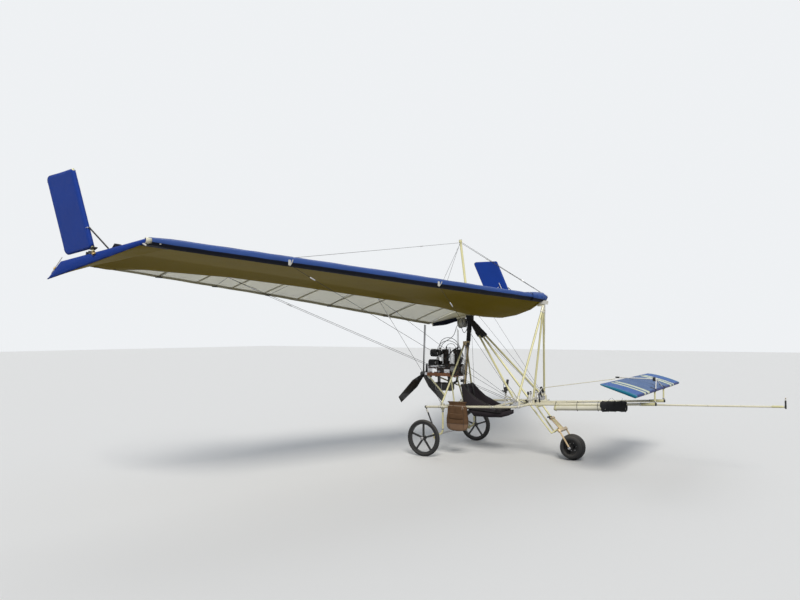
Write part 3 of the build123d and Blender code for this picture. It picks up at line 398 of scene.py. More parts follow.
def add_piece(name, mesh, finishes, body="airframe", smooth=True):
    """Links a mesh as a piece, with its finishes, on a body."""
    obj = bpy.data.objects.new(name, mesh)
    scene.collection.objects.link(obj)
    for label in [finishes] if isinstance(finishes, str) else finishes:
        mesh.materials.append(MATERIALS[label])
    if smooth:
        mesh.polygons.foreach_set("use_smooth", [True] * len(mesh.polygons))
    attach(obj, body)
    return obj


def grid_mesh(name, rows, finish_of=None, closed=False):
    """A sheet of quads through rows of points; finish_of(i, j) gives the face's slot."""
    count = len(rows[0])
    points = [tuple(p) for row in rows for p in row]
    faces, slots = [], []
    for i in range(len(rows) - 1):
        for j in range(count if closed else count - 1):
            k = (j + 1) % count
            faces.append((i * count + j, i * count + k, (i + 1) * count + k, (i + 1) * count + j))
            slots.append(finish_of(i, j) if finish_of else 0)
    mesh = bpy.data.meshes.new(name)
    mesh.from_pydata(points, [], faces)
    mesh.polygons.foreach_set("material_index", slots)
    return mesh


def add_rings(bm, rings, turned=True, slot_of=lambda n: 0):
    """Skins rings of points as one closed form with filled ends.

    The rings of a turned form run round its axis with the clock, the others' against it; slot_of(n) is the
    finish slot between ring n and the next.
    """
    loops = [[bm.verts.new(p) for p in ring] for ring in rings]
    for n, (low, high) in enumerate(zip(loops[:-1], loops[1:])):
        for k in range(len(low)):
            m = (k + 1) % len(low)
            corners = (low[k], low[m], high[m], high[k]) if turned else (low[k], high[k], high[m], low[m])
            bm.faces.new(corners).material_index = slot_of(n)
    first, last = (loops[0][::-1], loops[-1]) if turned else (loops[0], loops[-1][::-1])
    bm.faces.new(first).material_index = slot_of(0)
    bm.faces.new(last)


def rings_mesh(name, rings, turned=False, slot_of=lambda n: 0, weld=None):
    """A closed form through rings of points, its normals outward."""
    bm = bmesh.new()
    add_rings(bm, rings, turned, slot_of)
    if weld:
        bmesh.ops.remove_doubles(bm, verts=bm.verts, dist=weld)
    bmesh.ops.recalc_face_normals(bm, faces=bm.faces)
    return mesh_of(name, bm)


def thicken(obj, metres, offset=0.0):
    """Gives a sheet its cloth's thickness."""
    solid = obj.modifiers.new("cloth", "SOLIDIFY")
    solid.thickness = metres
    solid.offset = offset


def line_piece(name, runs, radius, label, body="airframe", smooth=True, sides=3):
    """Wires or hoses as one curve object: each run is a list of points."""
    data = bpy.data.curves.new(name, "CURVE")
    data.dimensions = "3D"
    data.bevel_depth = radius
    data.bevel_resolution = sides
    data.use_fill_caps = True
    data.resolution_u = 6
    for run in runs:
        spline = data.splines.new("NURBS" if smooth and len(run) > 2 else "POLY")
        spline.points.add(len(run) - 1)
        for point, place in zip(spline.points, run):
            point.co = (*place, 1)
        if spline.type == "NURBS":
            spline.order_u = 3
            spline.use_endpoint_u = True
    data.materials.append(MATERIALS[label])
    obj = bpy.data.objects.new(name, data)
    scene.collection.objects.link(obj)
    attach(obj, body)
    return obj


def stations(*runs):
    """Runs of points, each given as (station, y, z)."""
    return [[at(*p) for p in run] for run in runs]


def blocks_piece(name, blocks, label, body="airframe", bevel=0.0015):
    """Fittings as one mesh: each block is (centre, size, direction of its long X side)."""
    bm = bmesh.new()
    for centre, size, along in blocks:
        turn = Vector(along).to_track_quat("X", "Z").to_matrix().to_4x4()
        matrix = Matrix.Translation(centre) @ turn @ Matrix.Diagonal((*size, 1))
        bmesh.ops.create_cube(bm, size=1, matrix=matrix)
    bmesh.ops.bevel(bm, geom=bm.edges[:], offset=bevel, segments=2, affect="EDGES", clamp_overlap=True)
    add_piece(name, mesh_of(name, bm), label, body, smooth=False)


def cloth_piece(name, rows, finishes, metres, node=None, body="airframe", finish_of=None, ring=False):
    """A sheet of cloth through rows of points.
    """
    piece = add_piece(name, grid_mesh(name, rows, finish_of, ring), finishes, body)
    thicken(piece, metres)
    if node:
        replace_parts(piece, node)


# %% [markdown]
# ## The sail
# Each half is a double-surface sail: a blue pocket round the front tube, a yellow skin under the front
# of the chord, and a white top skin that shows grey from below behind it. The pocket is a lighter blue
# on its upper side as painted light, and near-black navy on its lower side, partly painted shade under
# the nose. A cloth simulation could billow it, but ten metres of taut sail moves only millimetres, so
# the billow between the battens and the scalloped rear edge are worked out point by point.

# %% The wing's own numbers, as in the source
ROOT_Y, BREAK_Y, END_Y, TIP_Y = 0.0253, 2.5, 4.8, 5.03
APEX, TIP_FRONT = (1.461, 2.158), (-0.388, 2.497)
REAR_ROOT, REAR_BREAK, REAR_END, REAR_TIP = (-0.370, 1.803), (-1.247, 2.136), (-1.591, 2.345), (-1.907, 2.214)
CAMBER, DOUBLE = 0.065, 0.60
WING_STATIONS = ((ROOT_Y, REAR_ROOT, 0.042), (BREAK_Y, REAR_BREAK, 0.042), (END_Y, REAR_END, 0.0336))
SKIN_GAP = 0.022


def front_edge(y):
    share = y / TIP_Y
    return tuple(a + share * (b - a) for a, b in zip(APEX, TIP_FRONT))


def front_point(y, s=1):
    """The centre of the front tube at y, on the side of s."""
    return at(front_edge(y)[0], s * y, front_edge(y)[1])


def chord_of(front, rear):
    """A section's chord, its direction to the rear and the direction of its upper side."""
    chord = math.hypot(rear[0] - front[0], rear[1] - front[1])
    e = ((rear[0] - front[0]) / chord, (rear[1] - front[1]) / chord)
    return chord, e, (e[1], -e[0])


def from_chord(front, e, n, y, u, w):
    """A point of a section: u behind its front point and w above its chord."""
    return Vector((front[0] - MID + e[0] * u + n[0] * w, y, front[1] + e[1] * u + n[1] * w))


def arc(p, q, r, share):
    """A point on the arc from p through q to r."""
    (ax, ay), (bx, by), (cx, cy) = p, q, r
    d = 2 * (ax * (by - cy) + bx * (cy - ay) + cx * (ay - by))
    aa, bb, cc = (x * x + y * y for x, y in (p, q, r))
    ux = (aa * (by - cy) + bb * (cy - ay) + cc * (ay - by)) / d
    uy = (aa * (cx - bx) + bb * (ax - cx) + cc * (bx - ax)) / d
    radius = math.hypot(ax - ux, ay - uy)
    a0, a1, a2 = (math.atan2(y - uy, x - ux) for x, y in (p, q, r))
    turn = (a2 - a0) % (2 * math.pi)
    if (a1 - a0) % (2 * math.pi) > turn:
        turn -= 2 * math.pi
    angle = a0 + share * turn
    return ux + radius * math.cos(angle), uy + radius * math.sin(angle)


def section_point(station, side, share):
    """A point of a wing section: side is nose, top, under or rear; share runs forward to back."""
    y, rear, nose = station
    front = front_edge(y)
    chord, e, n = chord_of(front, rear)

    def top(u):
        return CAMBER * chord * (1 - ((u / chord - 0.4) / 0.6) ** 2) + 0.005

    mid = (DOUBLE + 1) / 2 * chord
    seam = (DOUBLE * chord, top(DOUBLE * chord) - SKIN_GAP)
    if side == "nose":
        angle = math.radians(90 - 180 * share)
        u, w = nose - nose * math.cos(angle), nose * math.sin(angle)
    elif side == "top":
        u, w = arc((nose, nose), (chord * 0.45, top(chord * 0.45)), (chord, 0.004), share)
    elif side == "under":
        u, w = nose + share * (seam[0] - nose), -nose + share * (seam[1] + nose)
    else:
        u, w = arc(seam, (mid, top(mid) - SKIN_GAP / 2), (chord, -0.004), share)
    return from_chord(front, e, n, y, u, w), Vector((n[0], 0, n[1]))


def wing_point(y, side, share, lift=0.0):
    """A point of the port half's surface at y, lifted along the section's normal."""
    a, b = WING_STATIONS[:2] if y < BREAK_Y else WING_STATIONS[1:]
    k = (y - a[0]) / (b[0] - a[0])
    (p, n), (q, m) = section_point(a, side, share), section_point(b, side, share)
    return p.lerp(q, k) + n.lerp(m, k) * lift


# %% Battens and billow
BATTEN_STEP, BILLOW, SCALLOP = 0.47, 0.010, 0.016
BATTENS = [0.30 + BATTEN_STEP * k for k in range(10)]


def between_battens(y):
    """0 on a batten, rising to 1 half way between two."""
    near = min(abs(y - b) for b in BATTENS)
    return math.sin(min(1.0, near / (BATTEN_STEP / 2)) * math.pi / 2)


def billow(y, share):
    """How far the sail stands up between battens at this share of the chord."""
    return BILLOW * math.sin(math.pi * min(1.0, share)) * between_battens(y)


def scallop(y, share=1.0, begin=0.9):
    """How much the sail is cut in between battens, from a share of its chord to its rear edge."""
    return SCALLOP * between_battens(y) ** 2 * max(0.0, (share - begin) / (1 - begin))


# %% Sail skins' reach
BELLY_DEPTH, BELLY_Y = 0.175, (0.20, 1.50)


def skin_edge(y):
    """The share of the chord that the yellow skin reaches."""
    return float(np.interp(y, (0, 1.4, 3.4, 4.3, 4.6, 4.8), (0.63, 0.72, 0.79, 0.90, 1.0, 1.0)))


def keel_z(station):
    """The height of the keel tube's axis, which runs from the apex to the rear of the root."""
    return APEX[1] + (APEX[0] - station) / (APEX[0] - REAR_ROOT[0]) * (REAR_ROOT[1] - APEX[1])


def belly(y, part):
    """How far the yellow skin hangs down below the keel at this part of the chord."""
    ease = min(1.0, max(0.0, (y - BELLY_Y[0]) / (BELLY_Y[1] - BELLY_Y[0])))
    along = np.interp(part, (0, 0.06, 0.12, 0.24, 0.37, 0.52, 0.60, 0.66), (0, 0.26, 0.56, 0.88, 1.0, 0.78, 0.5, 0.12))
    return BELLY_DEPTH * float(along) * (1 - ease * ease * (3 - 2 * ease))


# %% The sail, half by half
SPAN_STEPS = 112
SPAN = [ROOT_Y + (END_Y - ROOT_Y) * k / SPAN_STEPS for k in range(SPAN_STEPS + 1)]


def top_row(y):
    """The white skin, from the front tube to the scalloped edge."""
    row = [wing_point(y, "top", j / 32, billow(y, j / 32) + 0.001) for j in range(33)]
    for j, p in enumerate(row):
        p.x += scallop(y, j / 32)
    return row


def under_row(y):
    """The yellow skin: straight to the seam, then along the rear part as far as it reaches."""
    row = []
    for j in range(21):
        share = j / 20
        row.append(wing_point(y, "under", share, -0.001 - 0.4 * billow(y, share) - belly(y, DOUBLE * share)))
    reach = (skin_edge(y) - DOUBLE) / (1 - DOUBLE)
    for j in range(1, 9):
        share = reach * j / 8
        p = wing_point(y, "rear", share, -0.001 - belly(y, DOUBLE + (1 - DOUBLE) * share))
        p.x += scallop(y, share, 0.75)
        row.append(p)
    return row


def pocket_row(y, s):
    """The blue pocket round the front tube, puffed and rippled a little away from it."""
    out = y / TIP_Y
    ripple = [0.0045 * noise.noise(Vector((y * 5.5, j * 0.45, 3.1 * s))) for j in range(25)]
    row = []
    for j in range(6):
        share = j / 6
        lift = 0.0065 + (0.004 + 0.010 * out) * share + ripple[j] * share
        row.append(wing_point(y, "top", 0.10 * (1 - share) ** 1.2, lift))
    row += [wing_point(y, "nose", j / 12) for j in range(13)]
    for j in range(6):
        lift = -0.003 - 0.012 * (5 - j) / 5 - 0.4 * ripple[12 + j]
        row.append(wing_point(y, "under", 0.105 * (j + 1) / 6, lift))
    row = [mirrored(p, s) for p in row]
    front = front_point(y, s)
    for j in range(6, 19):
        away = row[j] - front
        away.y = 0
        high, low = max(0.0, 1 - (j - 6) / 7), max(0.0, (j - 11) / 7)
        row[j] = row[j] + away.normalized() * (0.004 + 0.016 * high * out + 0.010 * low + ripple[j])
    return row


for side_name, s in SIDES:
    pocket_rows = [pocket_row(y, s) for y in SPAN]
    last = pocket_rows[-1]
    for k in range(1, 8):
        y = END_Y + (TIP_Y - 0.035 - END_Y) * k / 7
        pocket_rows.append([front_point(y, s) + (p - front_point(END_Y, s)) * (1 - 0.045 * k) for p in last])
    for name, rows, finishes, finish_of in (
        ("sail_top_", [[mirrored(p, s) for p in top_row(y)] for y in SPAN], "white sailcloth", None),
        ("sail_under_", [[mirrored(p, s) for p in under_row(y)] for y in SPAN], "yellow sailcloth", None),
        # The pocket's upper faces are lighter blue, painted light, and its lower faces near-black navy, partly painted
        # shade under the nose.
        ("front_pocket_", pocket_rows, ("blue sailcloth with painted light", "navy sailcloth"), lambda i, j: int(j >= 13)),
    ):
        cloth_piece(name + side_name, rows, finishes, 0.0012, "wing_" + side_name,
                    finish_of=finish_of)

# %% The webs beside the keel, and the strip that joins the two yellow skins below it
for side_name, s in SIDES:
    rows = []
    for k in range(25):
        share = 0.60 + 0.385 * k / 24
        high = wing_point(ROOT_Y, "top", (share - 0.02) / 0.98, -0.002)
        low = Vector((high.x, high.y, keel_z(high.x + MID) + 0.006))
        row = [low.lerp(high, j / 5) for j in range(6)]
        rows.append([Vector((p.x, s * (0.0262 + 0.004 * math.sin(math.pi * j / 5)), p.z)) for j, p in enumerate(row)])
    cloth_piece("keel_web_" + side_name, rows, "white sailcloth", 0.001)
strip = []
for y in (-0.032, -0.016, 0.0, 0.016, 0.032):
    row = [wing_point(ROOT_Y, "under", j / 20, -0.0035 - belly(0, DOUBLE * j / 20)) for j in range(1, 21)]
    strip.append([p + Vector((0, y - ROOT_Y, 0)) for p in row])
cloth_piece("under_strip", strip, "yellow sailcloth", 0.001)

# %% [markdown]
# ### Battens, hem and fittings of the sail
# The battens are alloy rods in narrow cloth pockets, and the rear edge is folded over a tape. Strips
# that follow the skin a millimetre or two below it show both. The fittings are dark plates where
# a batten's end cord or a wire meets the sail.

# %% Batten pockets and rear hem
BATTEN_WIDE, BATTEN_FLAT = 0.026, (0.24, 0.9)
for side_name, s in SIDES:
    bm = bmesh.new()
    for y in BATTENS:
        if y > END_Y - 0.1:
            continue
        edges = []
        for j in range(12):
            share, lift = skin_edge(y) + (0.995 - skin_edge(y)) * j / 11, billow(y, 0.8) - 0.0035
            pair = [wing_point(y + side * BATTEN_WIDE / 2, "top", share, lift) for side in (-1, 1)]
            edges.append([bm.verts.new(mirrored(p, s)) for p in pair])
        for (a, b), (c, d) in zip(edges[:-1], edges[1:]):
            bm.faces.new((a, b, d, c))
    battens = add_piece("batten_pockets_" + side_name, mesh_of("battens", bm), "white sailcloth")
    thicken(battens, 0.002)
    # Not measured: the flat size is typed and the area is a mix. The mesh is ten tapes, 26 mm by 3.94 m in all, 0.103 m2
    hem = []
    for y in SPAN:
        row = [(w, wing_point(y, "top", w, -0.0030)) for w in (0.965, 0.978, 0.990, 1.0)]
        hem.append([Vector((p.x + scallop(y, w), s * p.y, p.z)) for w, p in row])
    cloth_piece("rear_hem_" + side_name, hem, "white sailcloth", 0.0016)

# %% [markdown]
# ## Wing tips
# The sail is drawn out to an upright blue end face under the rudder. Each tip is one ring of cloth from
# the last rib to that face, which a fill of the last ring closes.

# %% Tip sections
TIP_CREST = (-1.694, 2.378)


def tip_ring(front, rear, y, half, crest):
    """Points round one section of the tip, from the rear edge over the top and nose and back below."""
    chord, e, n = chord_of(front, rear)
    line = [(chord, 0.004)] + [(u * chord, w) for u, w in reversed(crest)] + [(half, half)]
    walk = []
    for (u0, w0), (u1, w1) in zip(line[:-1], line[1:]):
        walk += [(u0 + (u1 - u0) * k / 6, w0 + (w1 - w0) * k / 6) for k in range(6)]
    walk += [(half - half * math.cos(a), half * math.sin(a)) for a in np.linspace(math.pi / 2, -math.pi / 2, 9)]
    walk += [(half + (chord - half) * k / 16, -half + (half - 0.004) * k / 16) for k in range(1, 17)]
    return [from_chord(front, e, n, y, u, w) for u, w in walk]


END_FRONT = front_edge(END_Y)
RIB_CHORD = chord_of(END_FRONT, REAR_END)[0]
RIB = [(u, CAMBER * RIB_CHORD * (1 - ((u - 0.40) / 0.60) ** 2) + 0.005) for u in (0.25, 0.55, 0.84)]
TIP_CHORD, TE, TN = chord_of(TIP_FRONT, REAR_TIP)
AWAY = (TIP_CREST[0] - TIP_FRONT[0], TIP_CREST[1] - TIP_FRONT[1])
CREST = ((AWAY[0] * TE[0] + AWAY[1] * TE[1]) / TIP_CHORD, AWAY[0] * TN[0] + AWAY[1] * TN[1])
FACE = [(CREST[0] * k, 0.016 + (CREST[1] - 0.016) * k) for k in (0.3, 0.65, 1.0)]

# %% Both tips
# The tip's nose is lighter blue above, painted light, and navy below, partly painted shade.
TIP_FINISHES = ("blue sailcloth", "blue sailcloth with painted light", "navy sailcloth", "yellow sailcloth")
TIP_TOP, TIP_NOSE_TOP, TIP_NOSE, TIP_UNDER = 24, 30, 33, 35
FACE_BULGE = 0.010
for side_name, s in SIDES:
    inner = tip_ring(END_FRONT, REAR_END, END_Y - 0.004, 0.034, RIB)
    outer = tip_ring(TIP_FRONT, REAR_TIP, TIP_Y, 0.020, FACE)
    rows = []
    for k in range(13):
        sag = 0.012 * math.sin(math.pi * k / 12)
        row = [p.lerp(q, k / 12) for p, q in zip(inner, outer)]
        for point in row[TIP_UNDER:]:
            point.z += sag * 0.6 + 0.004 * noise.noise(point * 9)
        rows.append([mirrored(p, s) for p in row])
    cloth_piece("tip_sail_" + side_name, rows, TIP_FINISHES, 0.0014,
                "tip_panel_" + side_name, ring=True,
                finish_of=lambda i, j: (j >= TIP_TOP) + (j >= TIP_NOSE_TOP) + (j >= TIP_NOSE))
    top_line, low_line = [[Vector((p.x, s * (TIP_Y + 0.001), p.z)) for p in run] for run in (outer[:25], outer[32:])]
    face_rows = []
    for k, a in enumerate(top_line):
        b = low_line[round((len(low_line) - 1) * (1 - k / 24))]
        row = [a.lerp(b, j / 6) for j in range(7)]
        face_rows.append([p + Vector((0, s * FACE_BULGE * math.sin(math.pi * j / 6), 0)) for j, p in enumerate(row)])
    cloth_piece("tip_face_" + side_name, face_rows, "blue sailcloth", 0.0014,
                "tip_panel_" + side_name)

# %% [markdown]
# ## Tip rudders
# Each rudder is a cloth-covered blade whose front is a pocket round its post. One ring of cloth, from
# the rear edge round the pocket and back, makes both skins, and its corners are rounded.

# %% Rudder blades
RUDDER_FOOT, RUDDER_TOP = (-1.145, 2.424), (-1.508, 3.272)
RUDDER_BACK_LOW, RUDDER_BACK_TOP = (-1.668, 2.440), (-2.036, 3.268)
RUDDER_Y, TOE_IN, RUDDER_LOW, POCKET_R = TIP_Y + 0.016, math.radians(6), 0.060, 0.0205
foot = at(RUDDER_FOOT[0], RUDDER_Y, RUDDER_FOOT[1])
post_axis = at(RUDDER_TOP[0], RUDDER_Y, RUDDER_TOP[1]) - foot
post_length = post_axis.length
post_u = post_axis.normalized()
post_back = Vector((-post_u.z, 0, post_u.x))
turned = post_back * math.cos(TOE_IN) - Vector((0, 1, 0)) * math.sin(TOE_IN)
blade_side = turned.cross(post_u)
corners = []
for x, z in (RUDDER_BACK_LOW, RUDDER_BACK_TOP):
    away = at(x, RUDDER_Y, z) - foot
    corners.append((away.dot(post_back) / math.cos(TOE_IN), away.dot(post_u)))
(back_low, low_b), (back_top, top_b) = corners
SHARES = (1.0, 0.985, 0.965, 0.94, 0.91, 0.87, 0.78, 0.66, 0.54, 0.42, 0.30, 0.20, 0.12, 0.10, 0.05, 0.015)


def rudder_point(c, side, t):
    """A point of a blade: c runs from the post to the rear edge, t from the foot to the top."""
    low, high = RUDDER_LOW + (low_b - RUDDER_LOW) * c, post_length + (top_b - post_length) * c
    corner = max(0.0, (c - 0.86) / 0.14)
    cut = 0.075 * (1 - math.sqrt(max(0.0, 1 - corner * corner)))
    t = cut + t * (1 - 2 * cut)
    reach = back_low + (back_top - back_low) * t
    w = 0.0155 * (1 - c) ** 2 + 0.0065 * (1 - c) + 0.0012
    w += 0.002 * noise.noise(Vector((c * 4, t * 5, side * 3.7))) * math.sin(math.pi * min(1, c * 1.1))
    return foot + turned * (0.012 + (reach - 0.012) * c) + post_u * (low + (high - low) * t) + blade_side * (w * side)


def post_pocket(angle, t):
    """A point of the pocket round the post, at an angle from its front."""
    a = math.radians(angle)
    r = POCKET_R + 0.0008 * noise.noise(Vector((angle * 0.05, t * 14, 2)))
    nose = r * math.cos(a)
    high = post_length - nose * (top_b - post_length) / back_top - 0.022 * math.cos(a)
    low = RUDDER_LOW - nose * (low_b - RUDDER_LOW) / back_low + 0.022 * math.cos(a)
    return foot + post_u * (low + (high - low) * t) - turned * nose + blade_side * (r * math.sin(a))


for side_name, s in SIDES:
    body, rows = "rudder_" + side_name, []
    for k in range(33):
        t = k / 32
        row = [rudder_point(c, -1, t) for c in SHARES]
        row += [post_pocket(angle, t) for angle in np.linspace(-80, 80, 9)]
        row += [rudder_point(c, 1, t) for c in reversed(SHARES)]
        rows.append([mirrored(p, s) for p in row])
    cloth_piece("rudder_cloth_" + side_name, rows, "blue sailcloth", 0.0012, body, body)
    line_piece("rudder_edge_" + side_name, [[row[0] for row in rows]], 0.0028, "deep blue sailcloth", body)
    ends = [[row[j].lerp(row[-1 - j], 0.5) for j in range(len(SHARES) - 2)] for row in (rows[0], rows[-1])]
    line_piece("rudder_ends_" + side_name, ends, 0.0045, "deep blue sailcloth", body)

# %% [markdown]
# ## Canard
# The canard is a flat blue wing on one cloth ring, with two pale stripes on each half. Stripes could be
# a colour mask, but real ones are sewn on, so they are narrow rings just proud of the cloth.

# %% Canard cloth, stripes and post patches
CANARD_FRONT, CANARD_REAR, CANARD_Y, CANARD_R = (2.929, 0.975), (2.519, 1.097), 1.266, 0.0163
CANARD_CHORD, CE, CN = chord_of(CANARD_FRONT, CANARD_REAR)
CANARD_FINISHES = ("faded blue sailcloth", "deep blue sailcloth", "teal sailcloth with painted light", "bright blue sailcloth")


def canard_ring(y, lift=0.0, reach=1.0, full=1.0):
    """Points round the canard's section at y, over a share of its chord."""
    r = CANARD_R
    end = math.sqrt(max(0.0, 1 - (max(0.0, abs(y) - CANARD_Y + 0.07) / 0.0705) ** 2))
    chord = (CANARD_CHORD * (0.80 + 0.20 * end)) * reach
    rib = 0.0016 * math.sin(abs(y) * 21)
    walk = [arc((r, r), (CANARD_CHORD * 0.3, r + 0.005 + rib), (CANARD_CHORD, 0.004), k / 14) for k in range(14, 0, -1)]
    walk = [(min(u, chord), w + lift) for u, w in walk if u <= chord or reach == 1.0]
    turn = np.linspace(math.pi / 2, -math.pi / 2, 9)
    walk += [(r - (r + lift) * math.cos(a), (r + lift) * math.sin(a)) for a in turn]
    walk += [(r + (chord - r) * k / 10, -r + (r - 0.003) * k / 10 * reach - lift + rib * 0.4) for k in range(1, 11)]
    return [from_chord(CANARD_FRONT, CE, CN, y, u, w * full) for u, w in walk]


def canard_slot(i, j):
    """Teal at the closed tips, partly painted light that keeps their end faces from going dark in shade, deep blue
    round the nose, brighter blue on the outer panels.
    """
    if min(i, len(rows) - 2 - i) < 7:
        return 2
    if 14 <= j < 21:
        return 1
    return 3 if abs(rows[i][0].y) > 0.80 else 0


half = list(np.linspace(CANARD_Y - 0.07, CANARD_Y, 7))
span = [-y for y in reversed(half)] + list(np.linspace(-CANARD_Y + 0.09, CANARD_Y - 0.09, 61)) + half
ends = [[canard_ring(s * (CANARD_Y + out), full=full) for out, full in ((0.003, 0.75), (0.005, 0.4), (0.006, 0.05))]
        for s in (-1, 1)]
rows = ends[0][::-1] + [canard_ring(y) for y in span] + ends[1]
cloth_piece("canard_cloth", rows, CANARD_FINISHES, 0.001, "canard", "canard",
            canard_slot, True)
for label, place, wide, lift, reach, tone in (
    ("broad", 0.665, 0.115, 0.0012, 0.985, "stripe sailcloth"),
    ("narrow", 0.835, 0.085, 0.0012, 0.985, "stripe sailcloth"),
    ("patch", 0.258, 0.050, 0.0030, 0.20, "black strap"),
):
    for side_name, s in reversed(SIDES):
        strip = [canard_ring(s * place + wide * (k / 4 - 0.5), lift, reach) for k in range(5)]
        cloth_piece("canard_%s_%s" % (label, side_name), strip, tone, 0.0008,
                    body="canard")

# %% [markdown]
# ### Canard horn and push rod
# The pilot's stick moves the canard through a long thin rod to a tube above its middle. The tube turns with
# the canard, so it rides on it; the long rod stays with the airframe.

# %% Horn, struts and rod
tube, rod = stations(((2.385, 0, 1.106), (2.905, 0, 1.098)), ((1.400, 0, 0.930), (2.340, 0, 1.080), (2.372, 0, 1.086)))
struts = stations(*(((2.880, 0, 1.096), (2.915, s * 0.215, 0.985)) for s in (-1, 1)))
line_piece("canard_horn_tube", [tube], 0.008, "white enamel", "canard", False, 6)
line_piece("canard_horn_struts", struts, 0.0062, "white enamel", "canard", False, 6)
blocks_piece("canard_horn_fitting", [
    (at(2.856, 0, 1.098), (0.030, 0.034, 0.050), AHEAD), (at(2.405, 0, 1.106), (0.050, 0.020, 0.020), AHEAD),
], "black enamel", "canard")
line_piece("push_rod", [rod], 0.005, "silver tube", smooth=False)

# %% [markdown]
# ## Tyres
# The main tyres are narrow with ribs round them; the nose tyre is fat with a block tread. A tread could
# be a bump map, but its outline shows against the floor, so the crown of the ring carries it.


# %% Tyre meshes
def tyre_piece(name, node, centre, outer, inner, width, grooves, blocks, body):
    """A ring with a grooved crown: grooves are shares of the half width, blocks the count round it."""
    half = width / 2
    shoulder, middle = outer - half * 0.3, (inner + outer) / 2 + 0.002
    wall = [arc((half * 0.7, inner), (half, middle), (half * 0.6, shoulder), k / 8) for k in range(8)]
    crown = [arc((half * 0.6, shoulder), (0, outer), (-half * 0.6, shoulder), k / 30) for k in range(31)]
    profile = wall + crown + [(-w, r) for w, r in reversed(wall)]
    steps = blocks * 4
    rows = []
    for i in range(steps):
        angle = 2 * math.pi * i / steps
        row = []
        for j, (w, r) in enumerate(profile):
            if 8 <= j < 39:
                share = w / half
                if any(abs(share - g) < 0.035 for g in grooves):
                    r -= 0.0035
                elif (i + (2 if w > 0 else 0)) % 4 == 0 and abs(share) > 0.12:
                    r -= 0.0022
            elif 3 <= j <= 5 or len(profile) - 6 <= j <= len(profile) - 4:
                r += 0.0004 * (i % 2)
            row.append(centre + Vector((r * math.cos(angle), w, r * math.sin(angle))))
        rows.append(row)
    piece = add_piece(name, grid_mesh(name, rows + rows[:1], None, True), "tyre rubber", body)
    bm = bmesh.new()
    bm.from_mesh(piece.data)
    bmesh.ops.remove_doubles(bm, verts=bm.verts, dist=1e-6)
    bmesh.ops.recalc_face_normals(bm, faces=bm.faces)
    bm.to_mesh(piece.data)
    bm.free()
    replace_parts(piece, node)
    print(name, len(piece.data.polygons), "faces")


WHEEL_R, TRACK_Y, NOSE_X, NOSE_WHEEL_R = 0.248, 0.813, 1.808, 0.170
for side_name, s in SIDES:
    tyre_piece("tyre_" + side_name, "wheel_tyre_" + side_name, at(0, s * TRACK_Y, WHEEL_R), WHEEL_R, WHEEL_R - 0.044,
               0.050, (-0.36, -0.12, 0.12, 0.36), 54, "main_wheel_" + side_name)
tyre_piece("tyre_nose", "nose_tyre", at(NOSE_X, 0, NOSE_WHEEL_R), NOSE_WHEEL_R, 0.090, 0.216,
           (-0.42, -0.2, 0.0, 0.2, 0.42), 36, "nose_wheel")

# %% [markdown]
# ### Wheel bolts and hub caps
# Small turned parts on the wheels: a ring of bolt heads and a valve. They are lathed rings,
# which one helper makes from a short profile.


# %% Turned parts
def turned_piece(name, parts, label, body="airframe", steps=24):
    """Turned parts as one mesh: each is (start, axis, profile), the profile a list of (along, radius)."""
    bm = bmesh.new()
    for start, axis, profile in parts:
        turn = Vector(axis).to_track_quat("Z", "Y").to_matrix()
        angles = [2 * math.pi * k / steps for k in range(steps)]
        add_rings(bm, [[start + turn @ Vector((radius * math.cos(a), radius * math.sin(a), along)) for a in angles]
                       for along, radius in profile])
    bmesh.ops.recalc_face_normals(bm, faces=bm.faces)
    piece = add_piece(name, mesh_of(name, bm), label, body, smooth=False)
    for polygon in piece.data.polygons:
        polygon.use_smooth = len(polygon.vertices) == 4


def bolt_circle(hub, count, radius, out, s, first):
    """Bolt heads in a circle on the outer face of a hub."""
    angles = [2 * math.pi * k / count + first for k in range(count)]
    return [(hub + Vector((radius * math.cos(a), s * out, radius * math.sin(a))), (0, s, 0), BOLT) for a in angles]


BOLT = ((0, 0.0055), (0.004, 0.0055), (0.005, 0.0045))
VALVE = ((0, 0.004), (0.016, 0.004), (0.018, 0.0025), (0.030, 0.0025))
for side_name, s in SIDES:
    hub, body = at(0, s * TRACK_Y, WHEEL_R), "main_wheel_" + side_name
    turned_piece("wheel_bolts_" + side_name, bolt_circle(hub, 5, 0.021, 0.036, s, 0.3), "machined alloy", body, 6)
    valve = (hub + Vector((0.186, s * 0.010, 0.02)), (-0.5, s, 0), VALVE)
    turned_piece("wheel_valve_" + side_name, [valve], "brass", body, 10)
hub = at(NOSE_X, 0, NOSE_WHEEL_R)
nose_bolts = [bolt for s in (-1, 1) for bolt in bolt_circle(hub, 6, 0.052, 0.009, s, 0.2)]
turned_piece("nose_wheel_bolts", nose_bolts, "machined alloy", "nose_wheel", 6)

# %% [markdown]
# ## Sleeves of foam and cloth
# Black foam is wrapped round the hub, the upper pylon and the boom where things are strapped. Each
# sleeve is a tube swept between two points, with rings of small folds, a little wider than its tube.


# %% Foam sleeves
def sleeve(name, a, b, radius, label, folds, rings, seed, pad, oval=1.0):
    """A soft tube from a to b with its ends drawn in; oval stretches it upward."""
    along = (b - a).normalized()
    side = along.cross(Vector((0, 0, 1)))
    side = Vector((0, 1, 0)) if side.length < 0.05 else side.normalized()
    up = side.cross(along).normalized()
    rows = []
    for i in range(rings + 1):
        t = i / rings
        end = 1 - 0.22 * max(0.0, 1 - min(t, 1 - t) * 16) ** 2
        row = []
        for k in range(24):
            c, d = math.cos(2 * math.pi * k / 24), math.sin(2 * math.pi * k / 24)
            r = radius * end + folds * noise.noise(Vector((t * rings * 0.45, c + seed, d * 1.3)))
            row.append(a + (b - a) * t + side * (r * c) + up * (r * d * oval))
        rows.append(row)
    piece = add_piece(name, rings_mesh(name, rows, True), label)


